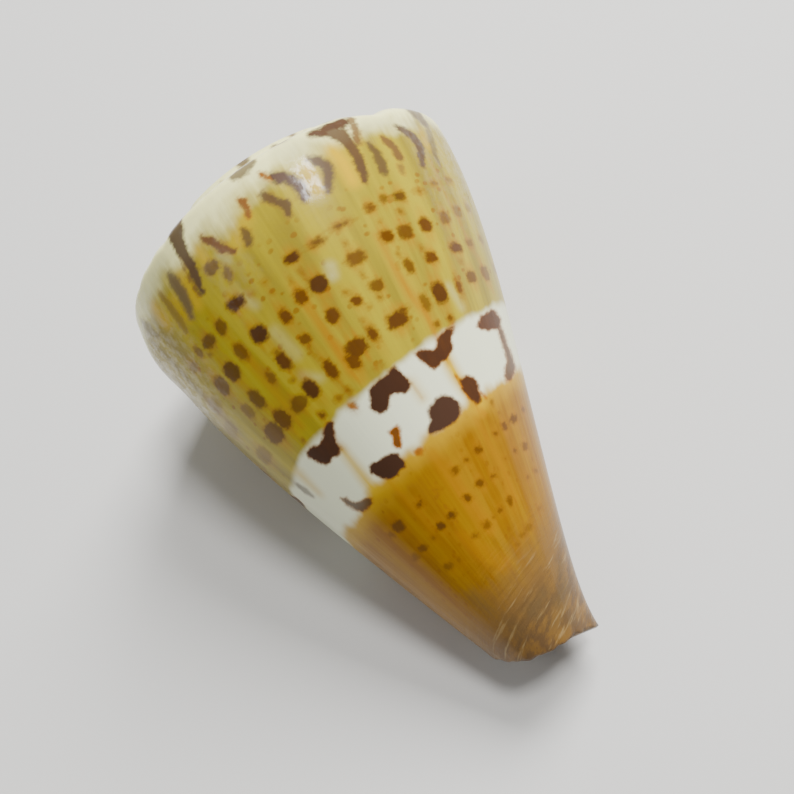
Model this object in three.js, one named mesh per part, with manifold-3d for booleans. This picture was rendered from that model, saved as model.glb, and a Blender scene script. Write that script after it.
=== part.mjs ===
// A cone shell, lying on its side with the mouth down and the back up.
// Lengths are in millimetres and angles in degrees, with +Z up.
//
// The shell is first drawn upright in its own frame: the axis of coiling is Z, the pointed
// base is at height 0 and the flat spire is on top. A place on it is named by its age, the
// angle of coiling counted back from the lip, and by its height. At the end the whole shell
// is laid down in the pose in which it rests.

import * as THREE from "three";
import { mergeVertices } from "three/addons/utils/BufferGeometryUtils.js";
import Module from "manifold-3d";

const wasm = await Module();
wasm.setup();

// Growth
const WHORLS = 8;             // turns from the tip of the spire to the lip
const BACK_AGE = 135;         // age of the middle of the back, the side that faces up
const SHOULDER_POWER = 0.78;  // how strongly the width follows the growth, at the shoulder
const BASE_POWER = 2.05;      // the same at the base, which narrows faster with age

// The side of the last whorl, measured down the middle of the back
const SHOULDER_HEIGHT = 51.0; // height of the widest place
const CORE_RADIUS = 4.3;      // where the straight flank would meet the base
const FLANK_SLOPE = 0.361;    // widening of the flank for each millimetre of height
const SHOULDER_DROP = 3.3;    // how far the flank bends in by the shoulder
const DROP_POWER = 5.5;       // how late that bend begins
const LIP_RETREAT = 4.2;      // the lip's own end stops this far short of the base
const RETREAT_AGE = 120;      // age by which the edge has come down to the base
const RETREAT_POWER = 1.5;    // how steeply the edge comes down
const EDGE_POWER = 4;         // how soon a shift of the base's edge fades upwards

// The base's outer corner, on the older side, where the edge reaches furthest
const CORNER_AGE = 230;       // age of the corner
const CORNER_SPREAD = 28;     // how wide it is, as an age
const CORNER_DROP = 0.6;      // how far it reaches down
const CORNER_FLARE = 1.5;     // how far it stands out
const FLARE_LENGTH = 3.5;     // how far up it stands out

// The bulge under the shoulder, near the lip
const BULGE_AGE = 38;         // age of its middle
const BULGE_SPREAD = 35;      // how wide it is, as an age
const BULGE_RISE = 0.6;       // how far it stands out
const BULGE_SHARE = 0.935;    // its place, as a share of the height
const BULGE_REACH = 0.065;    // how far it reaches up and down, as a share of the height

// The shoulder and the spire
const ROUND_WIDTH = 5.3;      // rounding of the shoulder, measured across
const ROUND_RISE = 1.9;       // rounding of the shoulder, measured upwards
const ROUND_END = 78;         // angle at which the rounding runs into the ramp
const SUTURE_ANGLE = 54;      // where a whorl is stuck to the rounding of the one before
const LOW_ANGLES = [34, 14];  // further angles of the rounding, on the last whorl
const RAMP_SAG = 0.3;         // hollow in the middle of the ramp
const SPIRE_RISE = 5.0;       // the part of the spire's height that follows the width
const TIP_RISE = 0.5;         // height of the closed tip above the oldest whorl
const LATE_DESCENT = 3.6;     // the part lost in the last turn, where the whorl sinks
const DESCENT_POWER = 6;      // how late that sinking begins

// The mouth and the hollow behind it
const LIP_WALL = 0.9;         // thickness at the lip
const BODY_WALL = 1.7;        // thickness further back
const WALL_GROWTH_AGE = 50;   // age by which the wall has its full thickness
const INNER_SKIN = 0.15;      // film laid on the whorl before
const COLUMELLA_CUT = 1.9;    // how far the hollow bites into the core at the base
const COLUMELLA_LENGTH = 7;   // how far up that bite reaches
const HOLLOW_END_AGE = 300;   // how far back the hollow runs
const CANAL_AGE = 55;         // the base stays open up to this age
const CANAL_END_AGE = 125;    // from this age on the floor of the hollow is level
const FLOOR_HEIGHT = 15;      // height of that floor
const CANAL_REACH = 4;        // how far the cut for the canal runs out of the base
const MOUTH_REACH = 24;       // how far, as an age, the cut runs out of the lip
const ROOF_RISE = 0.35;       // roof of the hollow above the widest place, as a share of the rise
const ROOF_INSET = 0.6;       // how far under the widest place the side of the hollow ends
const ROOF_CORNER = 1.2;      // how far the roof draws in from the outer wall
const ROOF_WIDTH = 0.3;       // least reach of the roof beyond the whorl before
const ROOF_GAP = 0.05;        // gap between the roof's inner end and the whorl before
const LEAST_CORE = 1.1;       // radius of the core where the bite is deepest
const CLOSING_AGE = 60;       // the hollow narrows over this age towards its end
const CLOSED_SHARE = 0.25;    // share of its width that is left there

// The resting pose, found from the outer hull and the centre of mass
const UP_AGE = 135.2;         // age of the line along the back that ends on top
const REST_TILT = 15.1;       // slope of the axis, with the spire end raised

// Fineness of the faceting
const STEPS = 80;             // steps in a turn
const SPIRE_TURNS = 6;        // turns that are modelled; the tip is closed above them
const HOLLOW_STEPS = 48;
const HOLLOW_SHARES = [1, 0.94, 0.85, 0.72, 0.58, 0.44, 0.3, 0.18, 0.08, 0];
const SIDE_SHARES = [0.985, 0.95, 0.89, 0.8, 0.68, 0.54, 0.4, 0.27, 0.16, 0.09, 0.05, 0.025, 0];
const MERGE_DISTANCE = 1e-4;  // points closer than this are one point

const RADIANS = Math.PI / 180;
const TURN = 360;

// Size of the growing edge at an age, as a share of its size at the lip.
function growth(age) {
  return (1 - age / (TURN * WHORLS)) ** 2;
}

// The same, against the middle of the back, where the side is measured.
function growthFromBack(age) {
  return growth(age) / growth(BACK_AGE);
}

// Height of the widest place at an age. It rises slowly with age, faster near the lip.
function shoulderHeight(age) {
  const now = growth(age);
  const back = growth(BACK_AGE);
  const slow = SPIRE_RISE * (back - now);
  const late = LATE_DESCENT * (back ** DESCENT_POWER - now ** DESCENT_POWER);
  return SHOULDER_HEIGHT + slow + late;
}

// A smooth bump: 1 in its middle, and fading to nothing within about two spreads.
function bump(value, middle, spread) {
  return Math.exp(-(((value - middle) / spread) ** 2));
}

// Height of a share of the side, 0 at the base's edge and 1 at the widest place. The edge
// of the base reaches down at its outer corner, and rises towards the lip.
function sideHeight(age, share) {
  const drop = CORNER_DROP * bump(age, CORNER_AGE, CORNER_SPREAD);
  const retreat = LIP_RETREAT * Math.max(0, 1 - age / RETREAT_AGE) ** RETREAT_POWER;
  return share * shoulderHeight(age) + (retreat - drop) * (1 - share) ** EDGE_POWER;
}

// How far the side stands out from its plain flank, at the corner and at the bulge.
function standingOut(age, share) {
  const length = (share * SHOULDER_HEIGHT) / FLARE_LENGTH;
  const flare = CORNER_FLARE * bump(age, CORNER_AGE, CORNER_SPREAD) * Math.exp(-length);
  const along = bump(age, BULGE_AGE, BULGE_SPREAD);
  return flare + BULGE_RISE * along * bump(share, BULGE_SHARE, BULGE_REACH);
}

// Radius of the side at a share of the height.
function sideRadius(age, share) {
  const level = (sideHeight(age, share) * SHOULDER_HEIGHT) / shoulderHeight(age);
  const straight = CORE_RADIUS + FLANK_SLOPE * level;
  const bend = SHOULDER_DROP * share ** DROP_POWER;
  const power = BASE_POWER + (SHOULDER_POWER - BASE_POWER) * share;
  return (straight - bend + standingOut(age, share)) * growthFromBack(age) ** power;
}

// A point of the rounded shoulder: angle 0 is the widest place and 90 would be the top.
function shoulderPoint(age, angle) {
  const size = growthFromBack(age);
  const width = ROUND_WIDTH * size;
  const rise = ROUND_RISE * size;
  const radius = sideRadius(age, 1) - width + width * Math.cos(angle * RADIANS);
  return [radius, shoulderHeight(age) + rise * Math.sin(angle * RADIANS)];
}

// The part of a whorl's outline that shows on the spire: the hollow of the ramp, its outer
// end, and the place on the rounding where the next whorl is stuck on.
function spirePoints(age) {
  const inner = shoulderPoint(age + TURN, SUTURE_ANGLE);
  const outer = shoulderPoint(age, ROUND_END);
  const sag = RAMP_SAG * growth(age);
  const middle = [(inner[0] + outer[0]) / 2, (inner[1] + outer[1]) / 2 - sag];
  return [middle, outer, shoulderPoint(age, SUTURE_ANGLE)];
}

// The rest of the outline, which shows on the last whorl alone.
function sidePoints(age) {
  const rounding = LOW_ANGLES.map((angle) => shoulderPoint(age, angle));
  const side = SIDE_SHARES.map((share) => [sideRadius(age, share), sideHeight(age, share)]);
  return rounding.concat(side);
}

// A point in space from a radius, a height and an age. Age runs against the growth.
function place(radius, height, age) {
  return [radius * Math.cos(age * RADIANS), radius * Math.sin(age * RADIANS), height];
}

// The shell without its hollow: one strip of rings that coils from the lip to the tip.
// Each ring borrows its innermost point, at the suture, from the ring one turn older.
function coiledSolid() {
  const positions = [];
  const triangles = [];
  const rings = [];
  const lastRing = SPIRE_TURNS * STEPS;
  for (let i = 0; i <= lastRing; i += 1) {
    const age = (TURN * i) / STEPS;
    const outline = i <= STEPS ? spirePoints(age).concat(sidePoints(age)) : spirePoints(age);
    const first = positions.length / 3;
    rings.push(outline.map((point, j) => first + j));
    outline.forEach(([radius, height]) => positions.push(...place(radius, height, age)));
  }
  const tip = positions.length / 3;
  positions.push(0, 0, shoulderHeight(TURN * WHORLS) + TIP_RISE);
  const base = tip + 1;
  positions.push(0, 0, sideHeight(BACK_AGE, 0));

  // The suture's point of a ring, followed by the points of its own.
  const column = (i) => [i + STEPS <= lastRing ? rings[i + STEPS][2] : tip, ...rings[i]];
  for (let i = 0; i < lastRing; i += 1) {
    const here = column(i);
    const next = column(i + 1);
    const length = Math.min(here.length, next.length);
    joinColumns(triangles, here.slice(0, length), next.slice(0, length));
    if (i < STEPS) {
      triangles.push(here[length - 1], base, next[length - 1]);
    }
  }

  // The step at the lip, between the newest ring and the side of the ring one turn older.
  const lip = rings[0];
  const older = rings[STEPS].slice(2);
  triangles.push(older[0], lip[1], lip[0], older[0], lip[2], lip[1]);
  joinColumns(triangles, older, lip.slice(2));
  triangles.push(older[older.length - 1], base, lip[lip.length - 1]);

  // The oldest end of the strip.
  const oldest = rings[lastRing];
  triangles.push(tip, oldest[0], oldest[1], tip, oldest[1], oldest[2]);
  return toSolid(positions, triangles);
}

// Two rows of points of equal length, joined with triangles.
function joinColumns(triangles, here, next) {
  for (let j = 0; j < here.length - 1; j += 1) {
    triangles.push(here[j], here[j + 1], next[j + 1]);
    triangles.push(here[j], next[j + 1], next[j]);
  }
}

// A closed solid swept through closed sections, with a fan over each end.
function solidFromSections(sections) {
  const positions = sections.flat(2);
  const width = sections[0].length;
  const triangles = [];
  for (let i = 0; i < sections.length - 1; i += 1) {
    for (let j = 0; j < width; j += 1) {
      const here = i * width + j;
      const along = i * width + ((j + 1) % width);
      triangles.push(here, along, along + width);
      triangles.push(here, along + width, here + width);
    }
  }
  const last = (sections.length - 1) * width;
  const half = width / 2;
  for (let j = 0; j < half - 1; j += 1) {
    const a = j;
    const b = j + 1;
    const c = width - 2 - j;
    const d = width - 1 - j;
    triangles.push(a, d, b, b, d, c);
    triangles.push(last + a, last + b, last + d, last + b, last + c, last + d);
  }
  return toSolid(positions, triangles);
}

// Hands a triangle mesh over to the boolean kernel, turned outwards if need be.
function toSolid(positions, triangles) {
  const geometry = new THREE.BufferGeometry();
  geometry.setAttribute("position", new THREE.Float32BufferAttribute(positions, 3));
  geometry.setIndex(triangles);
  const merged = mergeVertices(geometry, MERGE_DISTANCE);
  const index = Array.from(merged.index.array);
  const solid = [];
  for (let i = 0; i < index.length; i += 3) {
    const [a, b, c] = index.slice(i, i + 3);
    if (a !== b && b !== c && a !== c) {
      solid.push(a, b, c);
    }
  }
  const vertProperties = new Float32Array(merged.attributes.position.array);
  if (signedVolume(vertProperties, solid) < 0) {
    solid.reverse();
  }
  const triVerts = new Uint32Array(solid);
  return new wasm.Manifold(new wasm.Mesh({ numProp: 3, vertProperties, triVerts }));
}

// Six times the volume that the triangles enclose, negative if they face inwards.
function signedVolume(points, triangles) {
  const corner = (i) => new THREE.Vector3().fromArray(points, 3 * triangles[i]);
  let sum = 0;
  for (let i = 0; i < triangles.length; i += 3) {
    sum += corner(i).dot(corner(i + 1).cross(corner(i + 2)));
  }
  return sum;
}

// Thickness of the wall at an age: thin at the lip, full further back.
function wallThickness(age) {
  const share = Math.min(1, Math.max(0, age / WALL_GROWTH_AGE));
  return LIP_WALL + (BODY_WALL - LIP_WALL) * share;
}

// Height of the hollow's floor: below the base in the canal, then rising to a level.
function hollowFloor(age) {
  const share = Math.min(1, Math.max(0, (age - CANAL_AGE) / (CANAL_END_AGE - CANAL_AGE)));
  const smooth = share * share * (3 - 2 * share);
  return -CANAL_REACH + (FLOOR_HEIGHT + CANAL_REACH) * smooth;
}

// The hollow's section at an age: down the outer wall, then back up along the core.
function hollowSection(age) {
  const wall = wallThickness(age);
  const floor = hollowFloor(age);
  const height = shoulderHeight(age);
  const roof = ROOF_RISE * ROUND_RISE * growthFromBack(age);
  const closing = Math.min(1, (HOLLOW_END_AGE - age) / CLOSING_AGE + CLOSED_SHARE);
  const outer = [];
  const inner = [];
  for (const share of HOLLOW_SHARES) {
    const level = floor + share * (height - ROOF_INSET - floor);
    const far = sideRadius(age, Math.max(0, level) / height) - wall;
    const before = Math.min(1, Math.max(0, level) / shoulderHeight(age + TURN));
    const fade = Math.min(1, 1 + age / MOUTH_REACH);
    const bite = fade * COLUMELLA_CUT * Math.exp(-Math.max(0, level) / COLUMELLA_LENGTH);
    const near = Math.max(LEAST_CORE, sideRadius(age + TURN, before) + INNER_SKIN - bite);
    const middle = (far + near) / 2;
    outer.push(place(middle + (far - middle) * closing, level, age));
    inner.push(place(middle + (near - middle) * closing, level, age));
  }
  const corner = sideRadius(age, 1) - wall - ROOF_CORNER * growthFromBack(age);
  const previous = sideRadius(age + TURN, 1) + INNER_SKIN;
  outer.unshift(place(Math.max(corner, previous + ROOF_WIDTH), height + roof, age));
  inner.unshift(place(previous + ROOF_GAP, height + roof, age));
  return outer.concat(inner.reverse());
}

// The hollow behind the mouth, swept back around the core.
function hollow() {
  const sections = [];
  for (let i = 0; i <= HOLLOW_STEPS; i += 1) {
    const share = i / HOLLOW_STEPS;
    sections.push(hollowSection(-MOUTH_REACH + share * (HOLLOW_END_AGE + MOUTH_REACH)));
  }
  return solidFromSections(sections);
}

// The whole shell as one solid. Crumbs that the cut leaves behind are dropped.
function shellSolid() {
  const pieces = coiledSolid().subtract(hollow()).decompose();
  return pieces.reduce((large, piece) => (piece.volume() > large.volume() ? piece : large));
}

// Turns the solid back into a mesh geometry.
function toGeometry(solid) {
  const mesh = solid.getMesh();
  const geometry = new THREE.BufferGeometry();
  geometry.setAttribute("position", new THREE.BufferAttribute(mesh.vertProperties, 3));
  geometry.setIndex(new THREE.BufferAttribute(mesh.triVerts, 1));
  geometry.computeVertexNormals();
  return geometry;
}

const material = new THREE.MeshStandardMaterial({
  name: "shell",
  color: new THREE.Color(0.7, 0.6, 0.27),
  roughness: 0.35,
  metalness: 0,
});

const shell = new THREE.Mesh(toGeometry(shellSolid()), material);
shell.name = "shell";

// Lay the shell down, then set it on the ground with its box centred over the origin.
shell.rotation.set((REST_TILT - 90) * RADIANS, 0, (-90 - UP_AGE) * RADIANS, "XYZ");
shell.updateMatrixWorld(true);
const box = new THREE.Box3().setFromObject(shell, true);
const centre = box.getCenter(new THREE.Vector3());
shell.position.set(-centre.x, -centre.y, -box.min.z);

const cone = new THREE.Group();
cone.name = "cone_shell";
cone.add(shell);

export default cone;
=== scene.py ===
# %% [markdown]
# # A cone shell, from growth to glaze
#
# A cone shell is a tube that a sea snail lengthens at one edge, the lip, while it coils
# around an axis. Every earlier turn is wrapped by the next one, so only the last turn and
# the top of the older ones can be seen. This lesson rebuilds that growth with one surface,
# paints the markings where the animal laid them down, and photographs the shell lying with
# its mouth down.
#
# Lengths are in metres, in the same frame as the solid model: +Z up, the pointed base end
# towards -Y and the spire end towards +Y. Measures of the shell itself are given in
# millimetres, as a collector would write them down.

import bpy
import numpy as np
from mathutils import Matrix, Vector


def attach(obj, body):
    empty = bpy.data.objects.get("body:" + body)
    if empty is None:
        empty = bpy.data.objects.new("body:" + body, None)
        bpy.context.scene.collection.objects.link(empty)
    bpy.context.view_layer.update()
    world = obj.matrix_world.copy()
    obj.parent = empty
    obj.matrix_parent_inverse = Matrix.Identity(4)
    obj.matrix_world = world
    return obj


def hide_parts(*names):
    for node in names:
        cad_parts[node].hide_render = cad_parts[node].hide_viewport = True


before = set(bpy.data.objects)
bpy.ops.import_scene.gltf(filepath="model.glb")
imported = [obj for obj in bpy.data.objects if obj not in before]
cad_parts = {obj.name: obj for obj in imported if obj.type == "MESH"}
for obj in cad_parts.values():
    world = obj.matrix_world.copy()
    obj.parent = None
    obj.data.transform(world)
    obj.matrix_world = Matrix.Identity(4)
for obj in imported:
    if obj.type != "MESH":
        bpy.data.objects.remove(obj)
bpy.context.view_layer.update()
MM = 0.001
TURN = 360.0

# %% [markdown]
# ## The law of growth
#
# A place on the shell is named by its age, the angle of coiling counted back from the lip
# in degrees, and by its share of the height, 0 at the base's edge and 1 at the widest
# place, the shoulder. The edge grows with the square of the turns it has made, so each
# turn is wider than the one before. The base gains faster than the shoulder, which is why
# the last turn flares towards the lip at its narrow end.

# %% Measures of the shell
WHORLS = 8                # turns from the tip of the spire to the lip
BACK_AGE = 135.0          # age of the middle of the back
SHOULDER_POWER = 0.78     # how strongly the width follows the growth, at the shoulder
BASE_POWER = 2.05         # the same at the base
SHOULDER_HEIGHT = 51.0    # height of the widest place on the back
CORE_RADIUS = 4.3         # radius of the flank at the base
FLANK_SLOPE = 0.361       # widening of the flank for each millimetre of height
SHOULDER_DROP = 3.3       # how far the flank bends in by the shoulder
DROP_POWER = 5.5          # how late that bend begins
LIP_RETREAT = 4.2         # the lip's own end stops this far short of the base
RETREAT_AGE = 120.0       # age by which the edge has come down to the base
RETREAT_POWER = 1.5       # how early most of that way is made
EDGE_POWER = 4            # how fast a shift of the edge fades up the side
CORNER_AGE, CORNER_SPREAD = 230.0, 28.0   # the base's outer corner, on the older side
CORNER_DROP, CORNER_FLARE = 0.6, 1.5      # how far it reaches down, and stands out
FLARE_LENGTH = 3.5                        # how far up it stands out
BULGE_AGE, BULGE_SPREAD = 38.0, 35.0      # the bulge under the shoulder, near the lip
BULGE_RISE = 0.6                          # how far it swells
BULGE_SHARE, BULGE_REACH = 0.935, 0.065   # its place and reach, as shares of the height
ROUND_WIDTH = 5.3         # rounding of the shoulder, measured across
ROUND_RISE = 1.9          # rounding of the shoulder, measured upwards
ROUND_END = 78.0          # angle at which the rounding runs into the ramp
SUTURE_ANGLE = 54.0       # where the next whorl is stuck on the rounding
RAMP_SAG = 0.3            # hollow in the middle of the ramp
SPIRE_RISE = 5.0          # the part of the spire's height that follows the width
LATE_DESCENT = 3.6        # the part lost in the last turn, where the whorl sinks
DESCENT_POWER = 6
TIP_RISE = 0.5            # height of the closed tip above the oldest whorl
SPIRE_TURNS = 6
print("turns from the tip to the lip:", WHORLS)


# %% The law of growth
def growth(age):
    """Size of the growing edge: the square of the share of turns made by that age."""
    return (1 - age / (TURN * WHORLS)) ** 2


def growth_from_back(age):
    """Growth at an age divided by growth at the middle of the back."""
    return growth(age) / growth(BACK_AGE)


def shoulder_height(age):
    """Height of the widest place: it falls in step with the width, and faster near the lip."""
    now, back = growth(age), growth(BACK_AGE)
    slow = SPIRE_RISE * (back - now)
    late = LATE_DESCENT * (back ** DESCENT_POWER - now ** DESCENT_POWER)
    return SHOULDER_HEIGHT + slow + late


def bump(value, middle, spread):
    """A bell: e to the minus square of the distance from the middle, in spreads."""
    return np.exp(-(((value - middle) / spread) ** 2))


def side_height(age, share):
    """Share times the shoulder's height, plus a shift of the base's edge that fades upwards."""
    drop = CORNER_DROP * bump(age, CORNER_AGE, CORNER_SPREAD)
    retreat = LIP_RETREAT * np.clip(1 - age / RETREAT_AGE, 0, None) ** RETREAT_POWER
    return share * shoulder_height(age) + (retreat - drop) * (1 - share) ** EDGE_POWER


def standing_out(age, share):
    """The corner's bell, dying out up the side, plus the bulge's bell in age and in height."""
    length = share * SHOULDER_HEIGHT / FLARE_LENGTH
    flare = CORNER_FLARE * bump(age, CORNER_AGE, CORNER_SPREAD) * np.exp(-length)
    return flare + BULGE_RISE * bump(age, BULGE_AGE, BULGE_SPREAD) * bump(share, BULGE_SHARE, BULGE_REACH)


def side_radius(age, share):
    """A straight flank less a late bend at the shoulder, plus what stands out, times growth
    to a power that runs from the base's to the shoulder's."""
    level = side_height(age, share) * SHOULDER_HEIGHT / shoulder_height(age)
    straight = CORE_RADIUS + FLANK_SLOPE * level
    bend = SHOULDER_DROP * share ** DROP_POWER
    power = BASE_POWER + (SHOULDER_POWER - BASE_POWER) * share
    return (straight - bend + standing_out(age, share)) * growth_from_back(age) ** power


def rounding(age, angle):
    """A quarter of an ellipse over the shoulder: angle 0 is the widest place, 90 the top."""
    size = growth_from_back(age)
    radius = side_radius(age, 1.0) - ROUND_WIDTH * size * (1 - np.cos(np.radians(angle)))
    return radius, shoulder_height(age) + ROUND_RISE * size * np.sin(np.radians(angle))


def ramp(age, share):
    """A straight line from the suture to the rounding, less a sag that is deepest midway."""
    inner_radius, inner_height = rounding(age + TURN, SUTURE_ANGLE)
    outer_radius, outer_height = rounding(age, ROUND_END)
    radius = inner_radius + share * (outer_radius - inner_radius)
    sag = 4 * RAMP_SAG * growth(age) * share * (1 - share)
    return radius, inner_height + share * (outer_height - inner_height) - sag


print("widest radius on the back: %.1f mm" % side_radius(BACK_AGE, 1.0))
print("shoulder at the lip: %.1f mm, one turn back: %.1f mm"
      % (shoulder_height(0.0), shoulder_height(TURN)))

# %% [markdown]
# ## One coiled strip
#
# The outside is a single strip that coils from the lip up to the tip of the spire. Along
# its inner edge every ring of points borrows its first point from the ring one turn older:
# that shared line is the suture. Only the newest turn carries the whole side down to the
# base. Rings stand closer together on the back, which carries the markings to be matched.

# %% Rings and stations of the strip
FINE_AGES = (30.0, 240.0)      # the back, with close rings
FINE_STEP, COARSE_STEP = 0.8, 3.0
AFTER_RINGS = 40               # rings on the rest of the turn
RAMP_STATIONS, RIM_STATIONS = 5, 3
ROUND_STATIONS, SIDE_STATIONS = 10, 190


def ring_ages():
    """Ages of one turn, from 0 up to but not including 360, closer together on the back."""
    before = np.arange(0.0, FINE_AGES[0], COARSE_STEP)
    back = np.arange(FINE_AGES[0], FINE_AGES[1], FINE_STEP)
    after = np.linspace(FINE_AGES[1], TURN, AFTER_RINGS + 1)[:-1]
    return np.concatenate([before, back, after])


def spire_columns(age):
    """Ramp from just outside the suture, then the rounding down to the next suture."""
    shares = np.linspace(0, 1, RAMP_STATIONS + 1)[1:]
    angles = np.linspace(ROUND_END, SUTURE_ANGLE, RIM_STATIONS + 1)[1:]
    columns = [ramp(age, share) for share in shares] + [rounding(age, angle) for angle in angles]
    return np.array(columns).transpose(2, 0, 1)


def side_columns(age):
    """The lower rounding and the side, down to the base's edge."""
    angles = np.linspace(SUTURE_ANGLE, 0, ROUND_STATIONS + 1)[1:]
    shares = np.linspace(1, 0, SIDE_STATIONS + 1)[1:]
    curved = np.array([rounding(age, angle) for angle in angles]).transpose(2, 0, 1)
    age, share = np.meshgrid(age, shares, indexing="ij")
    return np.concatenate([curved, np.stack([side_radius(age, share), side_height(age, share)], -1)], 1)


TURN_AGES = ring_ages()
PER_TURN = len(TURN_AGES)
ages = np.concatenate([TURN_AGES + TURN * turn for turn in range(SPIRE_TURNS)] + [[TURN * SPIRE_TURNS]])
spire_part = spire_columns(ages)
side_part = side_columns(ages[: PER_TURN + 1])
print(len(ages), "rings,", spire_part.shape[1], "stations on the spire,", side_part.shape[1], "on the side")

# %% Joining the rings into a closed skin
SUTURE_COLUMN = spire_part.shape[1] - 1
last = len(ages) - 1


def in_space(age, outline):
    """Turns (radius, height) pairs into points of the shell's own upright frame."""
    angle = np.radians(age)[:, None]
    radius, height = outline[..., 0], outline[..., 1]
    return np.stack([radius * np.cos(angle), radius * np.sin(angle), height], -1)


def quads_between(columns):
    """Quads of a grid of point numbers, whose first axis runs along the strip."""
    corners = [columns[:-1, :-1], columns[:-1, 1:], columns[1:, 1:], columns[1:, :-1]]
    return np.stack(corners, -1).reshape(-1, 4)


def fan(centre, rim):
    """Triangles from one point to each pair of neighbours of a rim."""
    middle = np.full(len(rim) - 1, centre)
    return np.stack([middle, rim[:-1], rim[1:]], -1)


spire_points = in_space(ages, spire_part)
side_points = in_space(ages[: PER_TURN + 1], side_part)
tip_point = np.array([[0.0, 0.0, shoulder_height(TURN * WHORLS) + TIP_RISE]])
base_point = np.array([[0.0, 0.0, side_height(BACK_AGE, 0.0)]])
skin_points = np.concatenate([spire_points.reshape(-1, 3), side_points.reshape(-1, 3), tip_point, base_point])
spire_ids = np.arange(spire_points[..., 0].size).reshape(spire_points.shape[:2])
side_ids = spire_ids.size + np.arange(side_points[..., 0].size).reshape(side_points.shape[:2])
tip_id, base_id = len(skin_points) - 2, len(skin_points) - 1

oldest_shared = last - PER_TURN + 1
suture_ids = np.full(len(ages), tip_id)
suture_ids[:oldest_shared] = spire_ids[PER_TURN:, SUTURE_COLUMN]
ramp_start = np.column_stack([suture_ids, spire_ids[:, 0]])
side_grid = np.column_stack([spire_ids[: PER_TURN + 1, SUTURE_COLUMN], side_ids])

lip_top = spire_ids[0]
lip_rows = np.stack([side_grid[PER_TURN], side_grid[0]])
faces = [
    quads_between(spire_ids),
    quads_between(ramp_start[: oldest_shared + 1]),
    fan(tip_id, spire_ids[oldest_shared:, 0]),
    quads_between(side_grid),
    fan(base_id, side_grid[::-1, -1]),
    fan(side_grid[PER_TURN, 0], lip_top[::-1]),
    quads_between(lip_rows),
    fan(base_id, lip_rows[::-1, -1]),
    fan(tip_id, spire_ids[last]),
]
print("skin points:", len(skin_points), "faces:", sum(len(part) for part in faces))

# %% [markdown]
# ## The mouth and the hollow
#
# The mouth is a long slit between the lip and the turn before it, open at the base, where
# the snail's breathing tube came out. Behind the lip a narrow room runs back around the
# core. It is swept as a solid of its own and then cut out of the skin, which leaves the
# lip as thin as the real one.

# %% The hollow behind the lip
LIP_WALL, BODY_WALL = 0.9, 1.7   # wall thickness at the lip and further back
WALL_GROWTH_AGE = 50.0
INNER_SKIN = 0.15                # film laid on the whorl before
COLUMELLA_CUT, COLUMELLA_LENGTH = 1.9, 7.0
HOLLOW_END_AGE = 300.0
CANAL_AGE, CANAL_END_AGE = 55.0, 125.0
FLOOR_HEIGHT, CANAL_REACH = 15.0, 4.0
MOUTH_REACH = 24.0
ROOF_RISE, ROOF_INSET = 0.35, 0.6
ROOF_TAPER = 1.2                 # the roof is this much narrower than the room
ROOF_WIDTH, ROOF_GAP = 0.3, 0.05  # its least width, and its distance from the whorl before
CORE_LEAST = 1.1                 # the core stays at least this thick
END_AGES, END_WIDTH = 60.0, 0.25  # the room narrows over these ages, to this share of its width
HOLLOW_RINGS, HOLLOW_STATIONS = 110, 40


def smooth_step(value):
    """Three squares less two cubes of a value held between 0 and 1."""
    value = np.clip(value, 0, 1)
    return value * value * (3 - 2 * value)


def hollow_sections():
    """For each age, a closed outline: down the outer wall and back up along the core."""
    age = np.linspace(-MOUTH_REACH, HOLLOW_END_AGE, HOLLOW_RINGS)[:, None]
    share = np.linspace(1, 0, HOLLOW_STATIONS)[None, :]
    wall = LIP_WALL + (BODY_WALL - LIP_WALL) * np.clip(age / WALL_GROWTH_AGE, 0, 1)
    rise = smooth_step((age - CANAL_AGE) / (CANAL_END_AGE - CANAL_AGE))
    floor = (FLOOR_HEIGHT + CANAL_REACH) * rise - CANAL_REACH
    height = shoulder_height(age)
    level = floor + share * (height - ROOF_INSET - floor)
    above = np.clip(level, 0, None)
    bite = np.clip(1 + age / MOUTH_REACH, None, 1) * COLUMELLA_CUT * np.exp(-above / COLUMELLA_LENGTH)
    far = side_radius(age, above / height) - wall
    near = side_radius(age + TURN, np.clip(above / shoulder_height(age + TURN), None, 1)) + INNER_SKIN - bite
    near = np.clip(near, CORE_LEAST, None)
    closing = np.clip((HOLLOW_END_AGE - age) / END_AGES + END_WIDTH, None, 1)
    middle = (far + near) / 2
    size = growth_from_back(age)
    roof = height + ROOF_RISE * ROUND_RISE * size
    inner = side_radius(age + TURN, 1.0) + INNER_SKIN
    corner = np.maximum(side_radius(age, 1.0) - wall - ROOF_TAPER * size, inner + ROOF_WIDTH)
    down = np.stack([middle + (far - middle) * closing, level], -1)
    up = np.stack([middle + (near - middle) * closing, level], -1)[:, ::-1]
    roof_out = np.stack([corner, roof], -1)
    roof_in = np.stack([inner + ROOF_GAP, roof], -1)
    return age[:, 0], np.concatenate([roof_out, down, up, roof_in], 1)


def hollow_mesh():
    """Points and faces of the hollow, with a flat fan over each end."""
    age, outline = hollow_sections()
    points = in_space(age, outline)
    ids = np.arange(points[..., 0].size).reshape(points.shape[:2])
    walls = quads_between(np.column_stack([ids, ids[:, 0]]))
    half = points.shape[1] // 2
    left, right = ids[:, :half], ids[:, : half - 1 : -1]
    ends = [quads_between(np.stack([right[0], left[0]])), quads_between(np.stack([left[-1], right[-1]]))]
    return points.reshape(-1, 3), [walls] + ends


hollow_points, hollow_faces = hollow_mesh()
print("hollow points:", len(hollow_points))

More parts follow.
